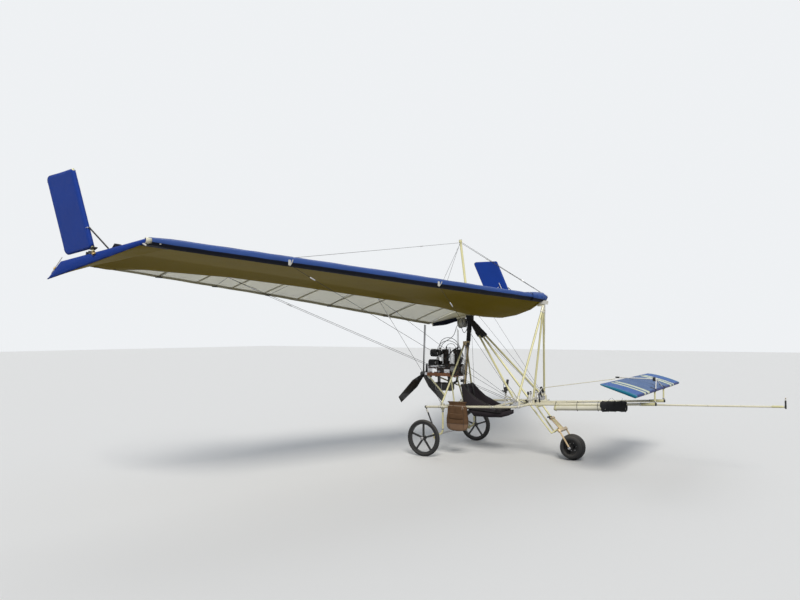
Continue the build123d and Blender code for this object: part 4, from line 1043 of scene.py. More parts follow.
def foam_along(name, top, low, begin, end, radius, rings, seed):
    """Foam on a strut, from one distance below its top to another."""
    u = (low - top).normalized()
    sleeve(name, top + u * begin, top + u * end, radius, "black foam", 0.004, rings, seed, 0.7)


def on_boom(station, drop=0.0):
    """A point of the starboard boom at a station, lowered by drop."""
    share = (station - BOOM_REAR) / (BOOM_FRONT[0] - BOOM_REAR)
    return BOOM_A.lerp(BOOM_B, share) - Vector((0, 0, drop))


def ties(name, places, drop, wide, high, radius):
    """Straps round the starboard boom and what hangs on it."""
    rings = [loop_round(on_boom(x, drop), Vector((0, wide, 0)), Vector((0, 0, high))) for x in places]
    line_piece(name, rings, radius, "black strap")


HUB = at(0.312, 0, 1.880)
FRONT_CROSS_X = 1.262
ENDS = {"starboard": at(1.200, -0.5, 0.790), "centre": at(1.228, 0, 0.745), "port": at(1.200, 0.5, 0.790)}
for k, (label, low) in enumerate(ENDS.items()):
    foam_along("hub_foam_" + label, HUB, low, 0.050, 0.336, 0.0295, 20, k)
PYLON_LOW = at(0.205, 0, 0.690)
foam_along("pylon_foam", HUB, PYLON_LOW, 0.06, 0.330, 0.031, 22, 7)
BOOM_REAR, BOOM_FRONT, POST_Y = FRONT_CROSS_X, (2.928, 0.812), 0.258
BOOM_A, BOOM_B = at(BOOM_REAR, -0.200, 0.7161), at(BOOM_FRONT[0], -POST_Y, BOOM_FRONT[1])
boom_u = (BOOM_B - BOOM_A).normalized()
sleeve("boom_foam", on_boom(2.250, 0.025), on_boom(2.578, 0.025), 0.036, "black foam", 0.004, 16, 3, 0.7, 1.85)
ties("boom_foam_ties", (2.275, 2.345, 2.43, 2.515, 2.56), 0.025, 0.0385, 0.071, 0.0022)
tails = []
for station, lean in ((2.345, 0.02), (2.43, -0.015), (2.515, 0.01)):
    top = on_boom(station, -0.042)
    tails.append([top, top + Vector((lean, -0.012, 0.022)), top + Vector((lean * 2, -0.03, 0.038))])
line_piece("boom_tie_tails", tails, 0.0015, "black strap")
ties("stowage_ties", (1.66, 1.95, 2.22), 0.024, 0.0335, 0.0615, 0.0024)

# %% [markdown]
# ## Keel pocket
# A navy band of the sail hangs from the keel in soft waves. It is a doubled strip, sewn round the keel.

# %% Keel pocket cloth
BAND_REAR, BAND_FRONT = -0.310, 0.120
rows = []
for k in range(41):
    x = BAND_REAR + (BAND_FRONT - BAND_REAR) * k / 40
    drop = float(np.interp(x, (-0.31, -0.144, -0.06, 0.055, 0.110, 0.120), (0.012, 0.032, 0.036, 0.024, 0.022, 0.004)))
    wave = 0.004 * math.sin(x * 42) + 0.002 * math.sin(x * 90)
    rows.append([at(x, wave * j / 5, keel_z(x) - 0.0262 - drop * j / 5) for j in range(6)])
cloth_piece("keel_band", rows, "navy sailcloth", 0.004, "keel_pocket")
ends = [at(x, 0, keel_z(x)) for x in (-0.305, 0.118)]
sleeve("keel_sleeve", *ends, 0.0268, "navy sailcloth", 0.0012, 40, 5, 0.4)

# %% [markdown]
# ## Seat
# The seat is a padded cloth shell with side webs over a frame. The pads are crowned closed forms
# with sewn channels.


# %% Pads
def pad_piece(name, path, channels, crown):
    """A crowned pad with sewn channels: path is its lower line as (station, z)."""
    lengths = [0.0]
    for (a, b), (c, d) in zip(path[:-1], path[1:]):
        lengths.append(lengths[-1] + math.hypot(c - a, d - b))

    def on_path(t):
        return [np.interp(t, lengths, [p[m] for p in path]) for m in (0, 1)]

    rows = []
    count, across, edge = 40, 24, PAD_THICK / 2
    for i in range(count + 1):
        t = i / count * lengths[-1]
        (x, z), (x0, z0), (x1, z1) = on_path(t), on_path(t - 0.004), on_path(t + 0.004)
        normal = Vector((-(z1 - z0), 0, x1 - x0)).normalized()
        round_t = rounded(min(i, count - i) / count, 12)
        sewn = 0.35 + 0.65 * abs(math.sin(math.pi * i / count * channels)) ** 0.35
        upper, lower = [], []
        for j in range(across + 1):
            v = j / across
            body_t = round_t * rounded(min(j, across - j) / across, 10)
            base = at(x, PAD_HALF_WIDTH * (2 * v - 1), z)
            upper.append(base + normal * (edge + (edge + crown * sewn * math.sin(math.pi * v) ** 0.5) * body_t))
            lower.append(base + normal * (edge - edge * body_t))
        rows.append(upper + list(reversed(lower)))
    return add_piece(name, rings_mesh(name, rows, weld=1e-5), "seat cloth")


def puff(piece, pressure=3.0, cap=0.008, frames=12):
    """Swells a pad with cloth pressure, no point by more than the cap, and keeps its first shape's rows."""
    start = [v.co.copy() for v in piece.data.vertices]
    cloth = piece.modifiers.new("puff", "CLOTH")
    cloth.settings.use_pressure = True
    cloth.settings.uniform_pressure_force = pressure
    cloth.settings.quality = 4
    cloth.settings.effector_weights.gravity = 0
    cloth.point_cache.frame_end = frames
    for frame_number in range(1, frames + 1):
        scene.frame_set(frame_number)
    shaped = piece.evaluated_get(bpy.context.evaluated_depsgraph_get()).to_mesh()
    moved = [v.co.copy() for v in shaped.vertices]
    piece.evaluated_get(bpy.context.evaluated_depsgraph_get()).to_mesh_clear()
    piece.modifiers.remove(cloth)
    for vertex, a, b in zip(piece.data.vertices, start, moved):
        step = b - a
        vertex.co = a + (step if step.length <= cap else step.normalized() * cap)
    scene.frame_set(1)
    most = max((b - a).length for a, b in zip(start, moved))
    print(piece.name, "puffed by", round(most * 1000, 1), "mm before the cap")


SEAT_BACK, SEAT_HEEL, SEAT_FRONT, SEAT_Y = (0.252, 0.948), (0.305, 0.612), (0.860, 0.575), 0.178
PAD_HALF_WIDTH, PAD_THICK = SEAT_Y - 0.016, 0.022
for name, path, channels, crown in (
    ("seat_back_pad", [SEAT_BACK, (0.2945, 0.677), (0.309, 0.642)], 4, 0.010),
    ("seat_base_pad", [(0.325, 0.613), (0.60, 0.5925), SEAT_FRONT], 5, 0.012),
):
    pad = pad_piece(name, path, channels, crown)
    puff(pad)
    finer = pad.modifiers.new("finer", "SUBSURF")
    finer.levels = finer.render_levels = 1
    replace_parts(pad, "seat")

# %% Side webs with a bound edge
LOWER_EDGE = (SEAT_BACK, (0.279, 0.780), SEAT_HEEL, (0.580, 0.594), SEAT_FRONT)
UPPER_EDGE = ((0.264, 0.951), (0.372, 0.846), (0.470, 0.768), (0.660, 0.678), (0.862, 0.600))
for side_name, s in SIDES:
    rows = []
    for i in range(33):
        (ax, az), (bx, bz) = [[float(np.interp(i / 8, range(5), [p[m] for p in edge])) for m in (0, 1)]
                              for edge in (LOWER_EDGE, UPPER_EDGE)]
        row = []
        for j in range(7):
            v, arch = j / 6, math.sin(math.pi * j / 6)
            bulge = 0.006 * arch * math.sin(math.pi * i / 32) + 0.002 * noise.noise(Vector((i * 0.3, v * 3, s)))
            row.append(at(ax + (bx - ax) * v, s * (SEAT_Y - 0.004 + bulge), az + (bz - az) * v - 0.006 * arch))
        rows.append(row)
    cloth_piece("seat_web_" + side_name, rows, "seat cloth", 0.004, "seat")
    edges = [[row[-1] for row in rows], [row[0] for row in rows]]
    line_piece("seat_web_edge_" + side_name, edges, 0.0055, "black strap")
rods = [[at(x, s * (SEAT_Y - 0.010), 0.604), at(x, s * 0.535, 0.6525 + (x - 0.13) * 0.0523)]
        for x in (0.345, 0.800) for s in (-1, 1)]
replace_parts(line_piece("seat_rods", rods, 0.007, "black enamel", smooth=False, sides=6), "seat")

# %% Seat pan: a sagging cloth tray
TRAY = ((0.330, 0.604), (0.430, 0.597), (0.840, 0.5745), (0.925, 0.596), (0.925, 0.545), (0.850, 0.507),
        (0.640, 0.498), (0.430, 0.501))
TRAY_MIDDLE, TRAY_HALF_WIDTH = (0.640, 0.553), 0.158
rows = []
for i in range(17):
    v = i / 16
    y = TRAY_HALF_WIDTH * (2 * v - 1)
    shrink = 0.86 + 0.14 * rounded(min(v, 1 - v), 9)
    row = []
    for (x0, z0), (x1, z1) in zip(TRAY, TRAY[1:] + TRAY[:1]):
        for m in range(5):
            x, z = x0 + (x1 - x0) * m / 5, z0 + (z1 - z0) * m / 5
            soft = 0.004 * noise.noise(Vector((x * 8, y * 8, z * 8)))
            x = TRAY_MIDDLE[0] + (x - TRAY_MIDDLE[0]) * shrink
            row.append(at(x, y, TRAY_MIDDLE[1] + (z - TRAY_MIDDLE[1]) * shrink + soft))
    rows.append(row)
pan = add_piece("seat_tray", rings_mesh("pan", rows), "seat cloth")
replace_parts(pan, "seat_pan")

# %% [markdown]
# ## Saddle bag
# A brown mesh bag hangs outside the starboard rail, gathered at its top by a pale cord. A bag is a
# lofted shell: rings of cloth from its bottom seam to the gathers, fuller low down where the load is.

# %% Bag shell
BAG_X, BAG_Y, BAG_LOW, BAG_HIGH, BAG_HALF_LONG, BAG_HALF_DEEP = 0.4115, -0.606, 0.354, 0.388, 0.160, 0.036
ROUND, LOWER_PART = 72, 9
rows = []
for i in range(37):
    t = i / 36
    full = (0.90 + 0.10 * math.sin(math.pi * min(1.0, t * 1.6))) * (0.55 + 0.45 * rounded(t, 7))
    gather = max(0.0, (t - 0.80) / 0.20)
    drawn = math.sin(math.pi * min(1.0, gather))
    wide, deep = BAG_HALF_LONG * full * (1 - 0.16 * drawn), BAG_HALF_DEEP * full * (1 - 0.35 * drawn)
    row = []
    for k in range(ROUND):
        a = 2 * math.pi * k / ROUND
        ca, sa = math.cos(a), math.sin(a)
        x, y = wide * math.copysign(abs(ca) ** 0.35, ca), deep * math.copysign(abs(sa) ** 0.55, sa)
        fold = 0.0035 * gather * math.sin(a * 18) + 0.004 * noise.noise(Vector((x * 16, t * 7, sa * 2)))
        sag = 0.006 * math.sin(math.pi * (x / wide + 1) / 2) * (1 - t)
        top = 0.008 * gather * noise.noise(Vector((x * 20, 1, 5)))
        row.append(at(BAG_X + x * (1 + fold * 2), BAG_Y + y + fold * sa * 1.2, BAG_LOW + BAG_HIGH * t - sag + top))
    rows.append(row)
mesh = rings_mesh("bag", rows, slot_of=lambda n: int(n < LOWER_PART))
bag = add_piece("bag_shell", mesh, ("brown mesh", "red brown cloth"))
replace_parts(bag, "saddle_bag")
cord = [p + (p - at(BAG_X, BAG_Y, p.z)).normalized() * 0.0015 for p in rows[31][::3]]
line_piece("bag_drawstring", [cord + [cord[0]]], 0.0026, "pale cord")
line_piece("bag_string_ends", stations(
    ((0.50, -0.640, 0.690), (0.502, -0.645, 0.665), (0.497, -0.643, 0.640)),
    ((0.505, -0.640, 0.690), (0.516, -0.646, 0.668), (0.520, -0.643, 0.650)),
), 0.0020, "pale cord")
seams = [[row[k] for row in rows[3:30]] for k in (50, 58)]
seams.append([p + Vector((0, -0.001, 0)) for p in rows[LOWER_PART][36:]])
line_piece("bag_seams", seams, 0.0018, "black strap")
flap = []
for i in range(13):
    y, z = BAG_Y - 0.0385 + 0.001 * math.sin(i * 1.3), 0.590 - 0.006 * math.sin(math.pi * i / 12)
    x = BAG_X - 0.10 + 0.20 * i / 12
    flap.append([at(x, y - 0.003 * math.sin(math.pi * j / 6), z - 0.075 * j / 6) for j in range(7)])
cloth_piece("bag_flap", flap, "brown mesh", 0.002)

# %% [markdown]
# ## Engine dressing
# The castings come from the CAD. Foam filters, caps, leads, hoses and the drive belt are added on top
# of them. Hoses that are fixed at both ends are swept along a few points, stiff enough to hold an arch.

# %% Filters, carburettor caps and bowls
CARB_Y = -0.132
CARB_CAP = ((0, 0.024), (0.004, 0.025), (0.012, 0.025), (0.016, 0.019), (0.030, 0.017), (0.034, 0.006), (0.048, 0.005))
CARB_BOWL = ((0, 0.023), (0.006, 0.024), (0.022, 0.021), (0.026, 0.010), (0.032, 0.008))
CARB_MOUTH = ((0, 0.033), (0.006, 0.033), (0.007, 0.030), (0.048, 0.030), (0.054, 0.024))
CARB_NECK = ((0, 0.0235), (0.012, 0.0235), (0.013, 0.0215), (0.022, 0.0215))
for k, (x, z, wide) in enumerate(((-0.114, 1.385, 0.108), (-0.148, 1.245, 0.088))):
    ends = at(x - 0.138, CARB_Y, z), at(x - 0.030, CARB_Y, z)
    sleeve("air_filter_%d" % (k + 1), *ends, wide / 2 + 0.002, "black foam", 0.004, 14, k + 2, 0.8)
    turned_piece("carburettor_%d_parts" % (k + 1), [
        (at(x, CARB_Y, z + 0.044), UP, CARB_CAP), (at(x, CARB_Y, z - 0.036), DOWN, CARB_BOWL),
        (at(x - 0.028, CARB_Y, z), AHEAD, CARB_MOUTH), (at(x, -0.106, z), PORT, CARB_NECK),
    ], "machined alloy")

# %% Plug caps, leads, coil and hoses
CYL = (-0.075, 0.110)
PLUG_CAP = ((0, 0.012), (0.004, 0.013), (0.022, 0.012), (0.030, 0.009), (0.034, 0.005))
turned_piece("plug_caps", [(at(x, 0, 1.444), UP, PLUG_CAP) for x in CYL], "black plastic")
line_piece("plug_leads", stations(
    ((CYL[0], 0, 1.478), (CYL[0] + 0.010, 0.02, 1.515), (0.000, 0.070, 1.520), (0.030, 0.095, 1.470),
     (0.040, 0.098, 1.400)),
    ((CYL[1], 0, 1.478), (CYL[1] - 0.012, 0.025, 1.510), (0.075, 0.075, 1.500), (0.062, 0.096, 1.460),
     (0.055, 0.098, 1.400)),
), 0.0035, "black plastic")
blocks_piece("ignition_coil", [
    (at(0.048, 0.098, 1.375), (0.060, 0.030, 0.060), AHEAD), (at(0.048, 0.082, 1.350), (0.020, 0.030, 0.012), AHEAD),
], "black plastic", bevel=0.003)
line_piece("engine_hoses", stations(
    ((-0.114, -0.132, 1.465), (-0.122, -0.128, 1.530), (-0.060, -0.110, 1.600), (0.030, -0.085, 1.612),
     (0.110, -0.055, 1.570), (0.175, -0.030, 1.460), (0.220, -0.020, 1.330)),
    ((-0.148, -0.132, 1.325), (-0.165, -0.150, 1.390), (-0.110, -0.150, 1.520), (0.000, -0.110, 1.575),
     (0.120, -0.060, 1.530), (0.196, -0.028, 1.400), (0.224, -0.020, 1.260)),
), 0.0040, "black plastic")
line_piece("intake_hoses", stations(
    ((-0.020, -0.100, 1.300), (0.020, -0.120, 1.350), (0.070, -0.118, 1.400), (0.100, -0.095, 1.440),
     (0.120, -0.050, 1.455)),
    ((0.135, -0.080, 1.410), (0.160, -0.095, 1.340), (0.160, -0.100, 1.250), (0.130, -0.098, 1.170)),
    ((-0.180, -0.100, 1.200), (-0.120, -0.115, 1.180), (-0.040, -0.108, 1.190), (0.010, -0.094, 1.210)),
), 0.0095, "black plastic")
spring = [at(0.110 + 0.004 * math.sin(k), 0.085 + 0.012 * k / 4, 1.322 + 0.002 * math.cos(k)) for k in range(5)]
line_piece("exhaust_springs", [spring], 0.0035, "steel")
blocks_piece("cylinder_bracket", [
    (at(0.017, -0.078, 1.370), (0.024, 0.010, 0.200), AHEAD),
    (at(0.017, -0.060, 1.456), (0.100, 0.040, 0.008), AHEAD),
    (at(-0.120, -0.098, 1.190), (0.070, 0.022, 0.034), AHEAD),
    (at(-0.015, -0.097, 1.120), (0.090, 0.020, 0.050), AHEAD),
], "machined alloy")
turned_piece("engine_bosses", [
    (at(0.080, -0.088, 1.150), STARBOARD, ((0, 0.046), (0.012, 0.046), (0.016, 0.040), (0.018, 0.020), (0.026, 0.018))),
    (at(-0.070, -0.088, 1.185), STARBOARD, ((0, 0.026), (0.010, 0.026), (0.014, 0.018))),
    (at(0.198, 0, 1.145), AHEAD, ((0, 0.072), (0.006, 0.070), (0.012, 0.050), (0.016, 0.046), (0.017, 0.020))),
    (at(-0.150, -0.088, 1.110), STARBOARD, ((0, 0.020), (0.012, 0.020), (0.014, 0.012))),
], "cast alloy")
line_piece("head_hangers", stations(
    ((0.110, -0.010, 1.492), (0.112, -0.010, 1.740)), ((0.135, -0.012, 1.455), (0.128, -0.012, 1.720)),
), 0.0035, "white enamel", smooth=False)
BED_MOUNT = ((0, 0.020), (0.004, 0.022), (0.018, 0.022), (0.022, 0.016), (0.030, 0.008))
BED_BOLT = ((0, 0.008), (0.006, 0.008), (0.007, 0.006))
mounts = [(at(x, y, 1.048), DOWN, BED_MOUNT) for x in (-0.300, 0.010) for y in (-0.088, 0.088)]
turned_piece("bed_mounts", mounts, "black plastic")
bolts = [(at(x, y, 1.0575), UP, BED_BOLT) for x in (-0.30, -0.24, 0.0) for y in (-0.098, 0.098)]
turned_piece("bed_bolts", bolts, "steel", steps=6)

# %% Drive belt and pulley bolts
DRIVE_X, CRANK_Z, PROP_Z, PROP_X = -0.347, 1.178, 1.058, -0.467
CRANK_R, PROP_R = 0.0405, 0.0665
lean = math.asin((PROP_R - CRANK_R) / (CRANK_Z - PROP_Z))
loop = [(CRANK_R * math.cos(a), CRANK_Z + CRANK_R * math.sin(a)) for a in np.linspace(-lean, math.pi + lean, 17)]
loop += [(PROP_R * math.cos(a), PROP_Z + PROP_R * math.sin(a))
         for a in np.linspace(math.pi + lean, 2 * math.pi - lean, 25)]
rows = [[at(x, y, z) for y, z in loop] for x in np.linspace(DRIVE_X - 0.020, DRIVE_X - 0.056, 7)]
thicken(add_piece("drive_belt", grid_mesh("belt", rows, None, True), "tyre rubber"), 0.004, 1.0)
bolts = []
for r, z, first, last, count in ((0.030, CRANK_Z, 0, 5.03, 5), (0.048, PROP_Z, 0.3, 5.55, 6)):
    bolts += [(at(DRIVE_X - 0.062, r * math.cos(a), z + r * math.sin(a)), BACK, BOLT)
              for a in np.linspace(first, last, count)]
turned_piece("drive_bolts", bolts, "steel", steps=6)

# %% Silencer bands and tail pipe
bands = []
for x in (-0.215, -0.120, -0.010):
    circle = [(math.cos(2 * math.pi * k / 40), math.sin(2 * math.pi * k / 40)) for k in range(41)]
    bands.append([at(x, 0.0765 * math.copysign(abs(c) ** 0.55, c), 0.889 + 0.0605 * math.copysign(abs(d) ** 0.55, d))
                  for c, d in circle])
line_piece("silencer_bands", bands, 0.0035, "steel")
turned_piece("tail_pipe", [
    (at(-0.238, -0.030, 0.880), (-1, -0.35, -0.1), ((0, 0.017), (0.070, 0.017), (0.071, 0.015), (0.060, 0.014))),
], "black enamel")

# %% [markdown]
# ## Fuel tank, cables and the mast
# The tank is held by two straps, with a cap and a fuel line. Cables run down the mast beside the foam.

# %% Tank dressing and mast cables
TANK_DROP = (0.025 + 0.065 + 0.0008) / 0.9817
TANK_END = ((-0.004, 0.066), (0.002, 0.064), (0.010, 0.052), (0.014, 0.030))
tank_a, tank_b = (at(x, 0, keel_z(x) - TANK_DROP) for x in (0.140, 0.240))
axis = (tank_b - tank_a).normalized()
across = Vector((0, 1, 0))
up = axis.cross(across).normalized()
rings = [loop_round(tank_a.lerp(tank_b, share), across * 0.0665, up * 0.0665, 33) for share in (0.18, 0.82)]
line_piece("tank_straps", rings, 0.0032, "black strap")
turned_piece("tank_ends", [(tank_a, -axis, TANK_END), (tank_b, axis, TANK_END)], "tank plastic", steps=36)
turned_piece("tank_cap", [
    (tank_b + axis * 0.012, axis, ((0, 0.020), (0.004, 0.022), (0.016, 0.022), (0.018, 0.018))),
], "black plastic")
feed, sight = stations(
    ((0.080, -0.010, 1.700), (0.050, -0.030, 1.620), (-0.030, -0.100, 1.560), (-0.090, -0.128, 1.500),
     (-0.100, -0.130, 1.440)),
    ((0.182, -0.02, 1.765), (0.205, -0.022, 1.700), (0.231, -0.022, 1.672), (0.262, -0.020, 1.705),
     (0.279, -0.016, 1.765)),
)
feed = [tank_a - axis * 0.010, tank_a - axis * 0.045 + Vector((0, 0, -0.02))] + feed
line_piece("fuel_line", [feed, sight], 0.0042, "black plastic")


def mast(z, side=0.0, ahead=0.0):
    """A point beside the mast at a height."""
    share = (z - PYLON_LOW.z) / (HUB.z - PYLON_LOW.z)
    return PYLON_LOW.lerp(HUB, share) + Vector((ahead, side, 0))


for name, radius, finish_name, runs in (
    # each point is (height, to port, ahead)
    ("mast_cables", 0.0045, "black plastic", (
        ((1.560, -0.026, 0.030), (1.420, -0.024, 0.028), (1.300, -0.024, 0.022), (1.150, -0.023, 0.026),
         (1.000, -0.022, 0.022), (0.900, -0.022, 0.020)),
        ((1.560, -0.022, -0.034), (1.440, -0.026, -0.022), (1.250, -0.024, -0.020), (1.080, -0.024, -0.016),
         (0.940, -0.026, -0.020), (0.800, -0.024, -0.018)),
    )),
    ("mast_cable_pale", 0.0050, "white enamel", (
        ((1.470, -0.020, -0.030), (1.350, -0.024, -0.026), (1.230, -0.026, -0.010), (1.100, -0.024, -0.024),
         (0.960, -0.022, -0.012), (0.850, -0.024, 0.004)),
    )),
):
    line_piece(name, [[mast(*p) for p in run] for run in runs], radius, finish_name)
rings = [loop_round(mast(z), Vector((0.026, 0, 0)), Vector((0, 0.030, 0))) for z in (1.46, 1.28, 1.08, 0.90)]
line_piece("mast_ties", rings, 0.0020, "black strap")
blocks_piece("mast_switches", [
    (mast(0.985, -0.040, -0.030), (0.050, 0.020, 0.040), AHEAD),
    (mast(1.505, -0.045, 0.020), (0.040, 0.012, 0.060), AHEAD),
], "black plastic", bevel=0.003)

# %% [markdown]
# ## Rigging
# Steel wires run from the sail down to the frame's corners and up to the kingpost. They are taut, so
# each is a straight line with a turnbuckle and a swaged end. The wires of both halves come from one table.

# %% Wires and turnbuckles
KING_X, KING_TOP = 0.164, at(0.164, 0, 3.018)
FRONT_CORNER, REAR_CORNER = (1.232, 0.514, 0.768), (0.130, 0.522, 0.685)
NODE_Y = (4.55, 4.05, 3.41, 2.60, 1.80, 0.85)
REAR_Y = (4.72, 4.05, 3.34, 2.57, 1.70, 0.81)


def sail_place(y, share, lift):
    """The (station, y, z) of a place on the top skin."""
    p = wing_point(y, "top", share, lift)
    return (p.x + MID, p.y, p.z)


def sail_node(y):
    """Where a tie meets the sail at the rear edge of the yellow skin."""
    return sail_place(y, skin_edge(y) * 0.995, -0.012)


def rear_fitting(y):
    """Where a batten's end cord meets the sail's rear edge."""
    return sail_place(y, 0.992, -0.010)


WIRES = [
    # wing end, frame end
    ((0.101, 3.70, 2.362), FRONT_CORNER),
    ((0.792, 1.82, 2.236), FRONT_CORNER),
    ((-1.048, 3.41, 2.300), FRONT_CORNER),
    ((-0.359, 1.398, 2.134), REAR_CORNER),
    ((-0.359, 1.398, 2.134), FRONT_CORNER),
    (rear_fitting(2.57), (-1.048, 3.41, 2.300)),
    (rear_fitting(2.57), (1.200, 0.520, 0.760)),
    ((KING_X, 0.0, 3.000), (0.076, 3.640, 2.440)),
    ((KING_X, 0.0, 3.000), (0.789, 1.700, 2.312)),
]
for y in NODE_Y[1:]:
    WIRES.append((sail_node(y), rear_fitting(min(REAR_Y, key=lambda r: abs(r - y + 0.05)))))
BUCKLE = ((0, 0.003), (0.006, 0.0065), (0.064, 0.0065), (0.070, 0.003))
SWAGE = ((0, 0.003), (0.004, 0.0060), (0.070, 0.0060), (0.076, 0.004))
KING_BUCKLE = ((0, 0.003), (0.006, 0.0075), (0.090, 0.0075), (0.096, 0.003))
LONG_WIRE = 1.0
wires, buckles, ends = [], [], []
for s in (-1, 1):
    for a, b in WIRES:
        p, q = at(a[0], s * a[1], a[2]), at(b[0], s * b[1], b[2])
        wires.append([p, q])
        u = (q - p).normalized()
        if (q - p).length > LONG_WIRE:
            middle = p + u * (0.30 if p.z < 2.9 else (q - p).length * 0.30)
            buckles += [(middle - u * 0.035, u, BUCKLE), (q - u * 0.090, u, SWAGE)]
        ends.append((p, (0.022, 0.012, 0.008), u))
for q, share in ((at(1.385, 0, 2.235), 0.74), (at(-0.290, 0, keel_z(-0.290) + 0.032), 0.5)):
    wires.append([KING_TOP, q])
    buckles.append((KING_TOP.lerp(q, share), (q - KING_TOP).normalized(), KING_BUCKLE))
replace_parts(line_piece("rigging_wires", wires, 0.0021, "steel wire", smooth=False), "main_stays")
turned_piece("turnbuckles", buckles, "machined alloy", steps=10)
blocks_piece("wire_ends", ends, "steel")

# %% Fittings on the sail
dark, bright, straps = [], [], []
for s in (-1, 1):
    for y in REAR_Y:
        x, y, z = rear_fitting(y)
        dark.append((at(x + 0.010, s * y, z + 0.002), (0.014, 0.085, 0.010), AHEAD))
    for y in NODE_Y:
        x, y, z = sail_node(y)
        dark.append((at(x, s * y, z + 0.006), (0.030, 0.022, 0.008), AHEAD))
    for x, y, z in ((0.101, 3.70, 2.366), (0.792, 1.82, 2.240)):
        bright.append((at(x, s * y, z + 0.020), (0.016, 0.030, 0.056), AHEAD))
        straps.append([at(x + dx, s * y, z + dz) for dx, dz in ((0.044, 0.046), (0.027, 0.004), (0, -0.014))])
blocks_piece("sail_fittings", dark, "black enamel", bevel=0.002)
blocks_piece("front_edge_fittings", bright, "white enamel", bevel=0.003)
line_piece("front_edge_straps", straps, 0.0045, "white enamel")

# %% [markdown]
# ### Tip fittings and rudder struts
# The front tube shows its silver end at each tip. The rudder post stands on a pin and is held
# by a slim strut in front and a strap behind; all of these stay with the wing.

# %% Tube ends, struts and straps at the tips
TUBE_END = ((0, 0.027), (0.048, 0.027), (0.052, 0.0255), (0.0521, 0.022), (0.040, 0.0215))
STRAP_RING = ((0, 0.009), (0.004, 0.011), (0.024, 0.011), (0.028, 0.009))
FOOT_PIN = ((0, 0.020), (0.010, 0.020), (0.012, 0.0165), (0.030, 0.0165))
tube_dir = (front_point(TIP_Y) - front_point(END_Y)).normalized()
collar_middle = foot + post_u * 0.262
parts, whites, darks, struts, straps, collars, pins = [], [], [], [], [], [], []
for s in (-1, 1):
    d = mirrored(tube_dir, s)
    parts.append((at(TIP_FRONT[0] - 0.026, s * TIP_Y, TIP_FRONT[1]) - d * 0.045, d, TUBE_END))
    whites.append((at(-0.432, s * (TIP_Y + 0.002), 2.462), (0.055, 0.010, 0.016), (1, 0, -0.5)))
    whites.append((at(-0.345, s * 4.93, 2.468), (0.014, 0.014, 0.010), AHEAD))
    darks.append((at(-1.150, s * 5.046, 2.470), (0.050, 0.060, 0.012), (post_back.x, 0, post_back.z)))
    darks.append((at(-1.215, s * 5.030, 2.438), (0.060, 0.020, 0.028), (1, 0, -0.15)))
    darks.append((at(-1.280, s * 5.022, 2.430), (0.024, 0.022, 0.036), (1, 0, -0.15)))
    struts.append([at(-1.222, s * 5.046, 2.674), at(-0.962, s * 5.022, 2.462)])
    straps.append([at(-1.664, s * 5.036, 2.418), at(-1.855, s * 5.028, 2.268)])
    collar = [(math.cos(a), math.sin(a)) for a in np.radians(np.linspace(-70, 70, 9))]
    collar = [collar_middle - post_back * (0.0290 * c) + Vector((0, 0.0290 * d, 0)) for c, d in collar]
    collars.append([mirrored(p, s) for p in collar])
    pins.append((at(-1.140, s * 5.046, 2.412), (post_u.x, 0, post_u.z), FOOT_PIN))
turned_piece("front_tube_ends", parts, "silver tube", steps=28)
blocks_piece("tip_white_fittings", whites, "white enamel", bevel=0.003)
blocks_piece("tip_dark_fittings", darks, "black enamel", bevel=0.003)
line_piece("rudder_struts", struts, 0.0080, "black enamel", smooth=False)
line_piece("rudder_collars", collars, 0.0030, "steel")
for side_name, s in reversed(SIDES):
    horns = stations(
        ((-1.414, s * 4.990, 2.781), (-1.320, s * 4.985, 2.585)),
        ((-1.427, s * 4.992, 2.688), (-1.489, s * 4.992, 2.635)),
        ((-1.395, s * 4.990, 2.740), (-1.395, s * 5.040, 2.740)),
    )
    line_piece("rudder_horn_" + side_name, horns, 0.0075, "white enamel", "rudder_" + side_name, smooth=False)
line_piece("rudder_rear_straps", straps, 0.0040, "white enamel", smooth=False)
turned_piece("rudder_strap_rings", [(a.lerp(b, 0.62), b - a, STRAP_RING) for a, b in straps], "brass", steps=12)
turned_piece("rudder_foot_pins", pins, "brass", steps=18)
for side_name, s in reversed(SIDES):
    rows = []
    for k in range(9):
        v = k / 8
        peak = 0.052 * min(1.0, 4 * v) * (1 - v) ** 0.7
        x, z = -1.085 + 0.165 * v, 2.478 + 0.020 * v
        rows.append([at(x, s * (4.90 + 0.012 * w), z + peak * (1 - abs(w))) for w in (-1, -0.5, 0, 0.5, 1)])
    piece = add_piece("tip_peak_" + side_name, grid_mesh("peak", rows), "navy sailcloth")
    thicken(piece, 0.0015)

# %% [markdown]
# ### Apex cover
# Where the two front tubes meet, a loose cloth cap covers the joint and bulges above it.

# %% Apex cap
CAP_HALF = 0.26
rows = []
for k in range(25):
    y = CAP_HALF * (k / 12 - 1)
    near = max(abs(y), ROOT_Y)
    front = at(front_edge(abs(y) * 0.8 + 0.01)[0], y, front_edge(abs(y))[1])
    swell = math.cos(math.pi * y / (2 * CAP_HALF))
    row = []
    for j in range(19):
        if j < 4:
            side, share = "top", 0.085 * (1 - j / 4)
        elif j < 15:
            side, share = "nose", (j - 4) / 10
        else:
            side, share = "under", 0.030 * (j - 14) / 4
        p = wing_point(near, side, share) - front_point(near)
        lift = 0.014 + 0.024 * swell * max(0.0, 1 - max(0, j - 5) / 6)
        lift += 0.004 * noise.noise(Vector((k * 0.5, j * 0.5, 9)))
        grow = Vector((p.x, 0, p.z))
        row.append(front + grow + (grow.normalized() * lift if j >= 4 else Vector((0, 0, lift))))
    rows.append(row)
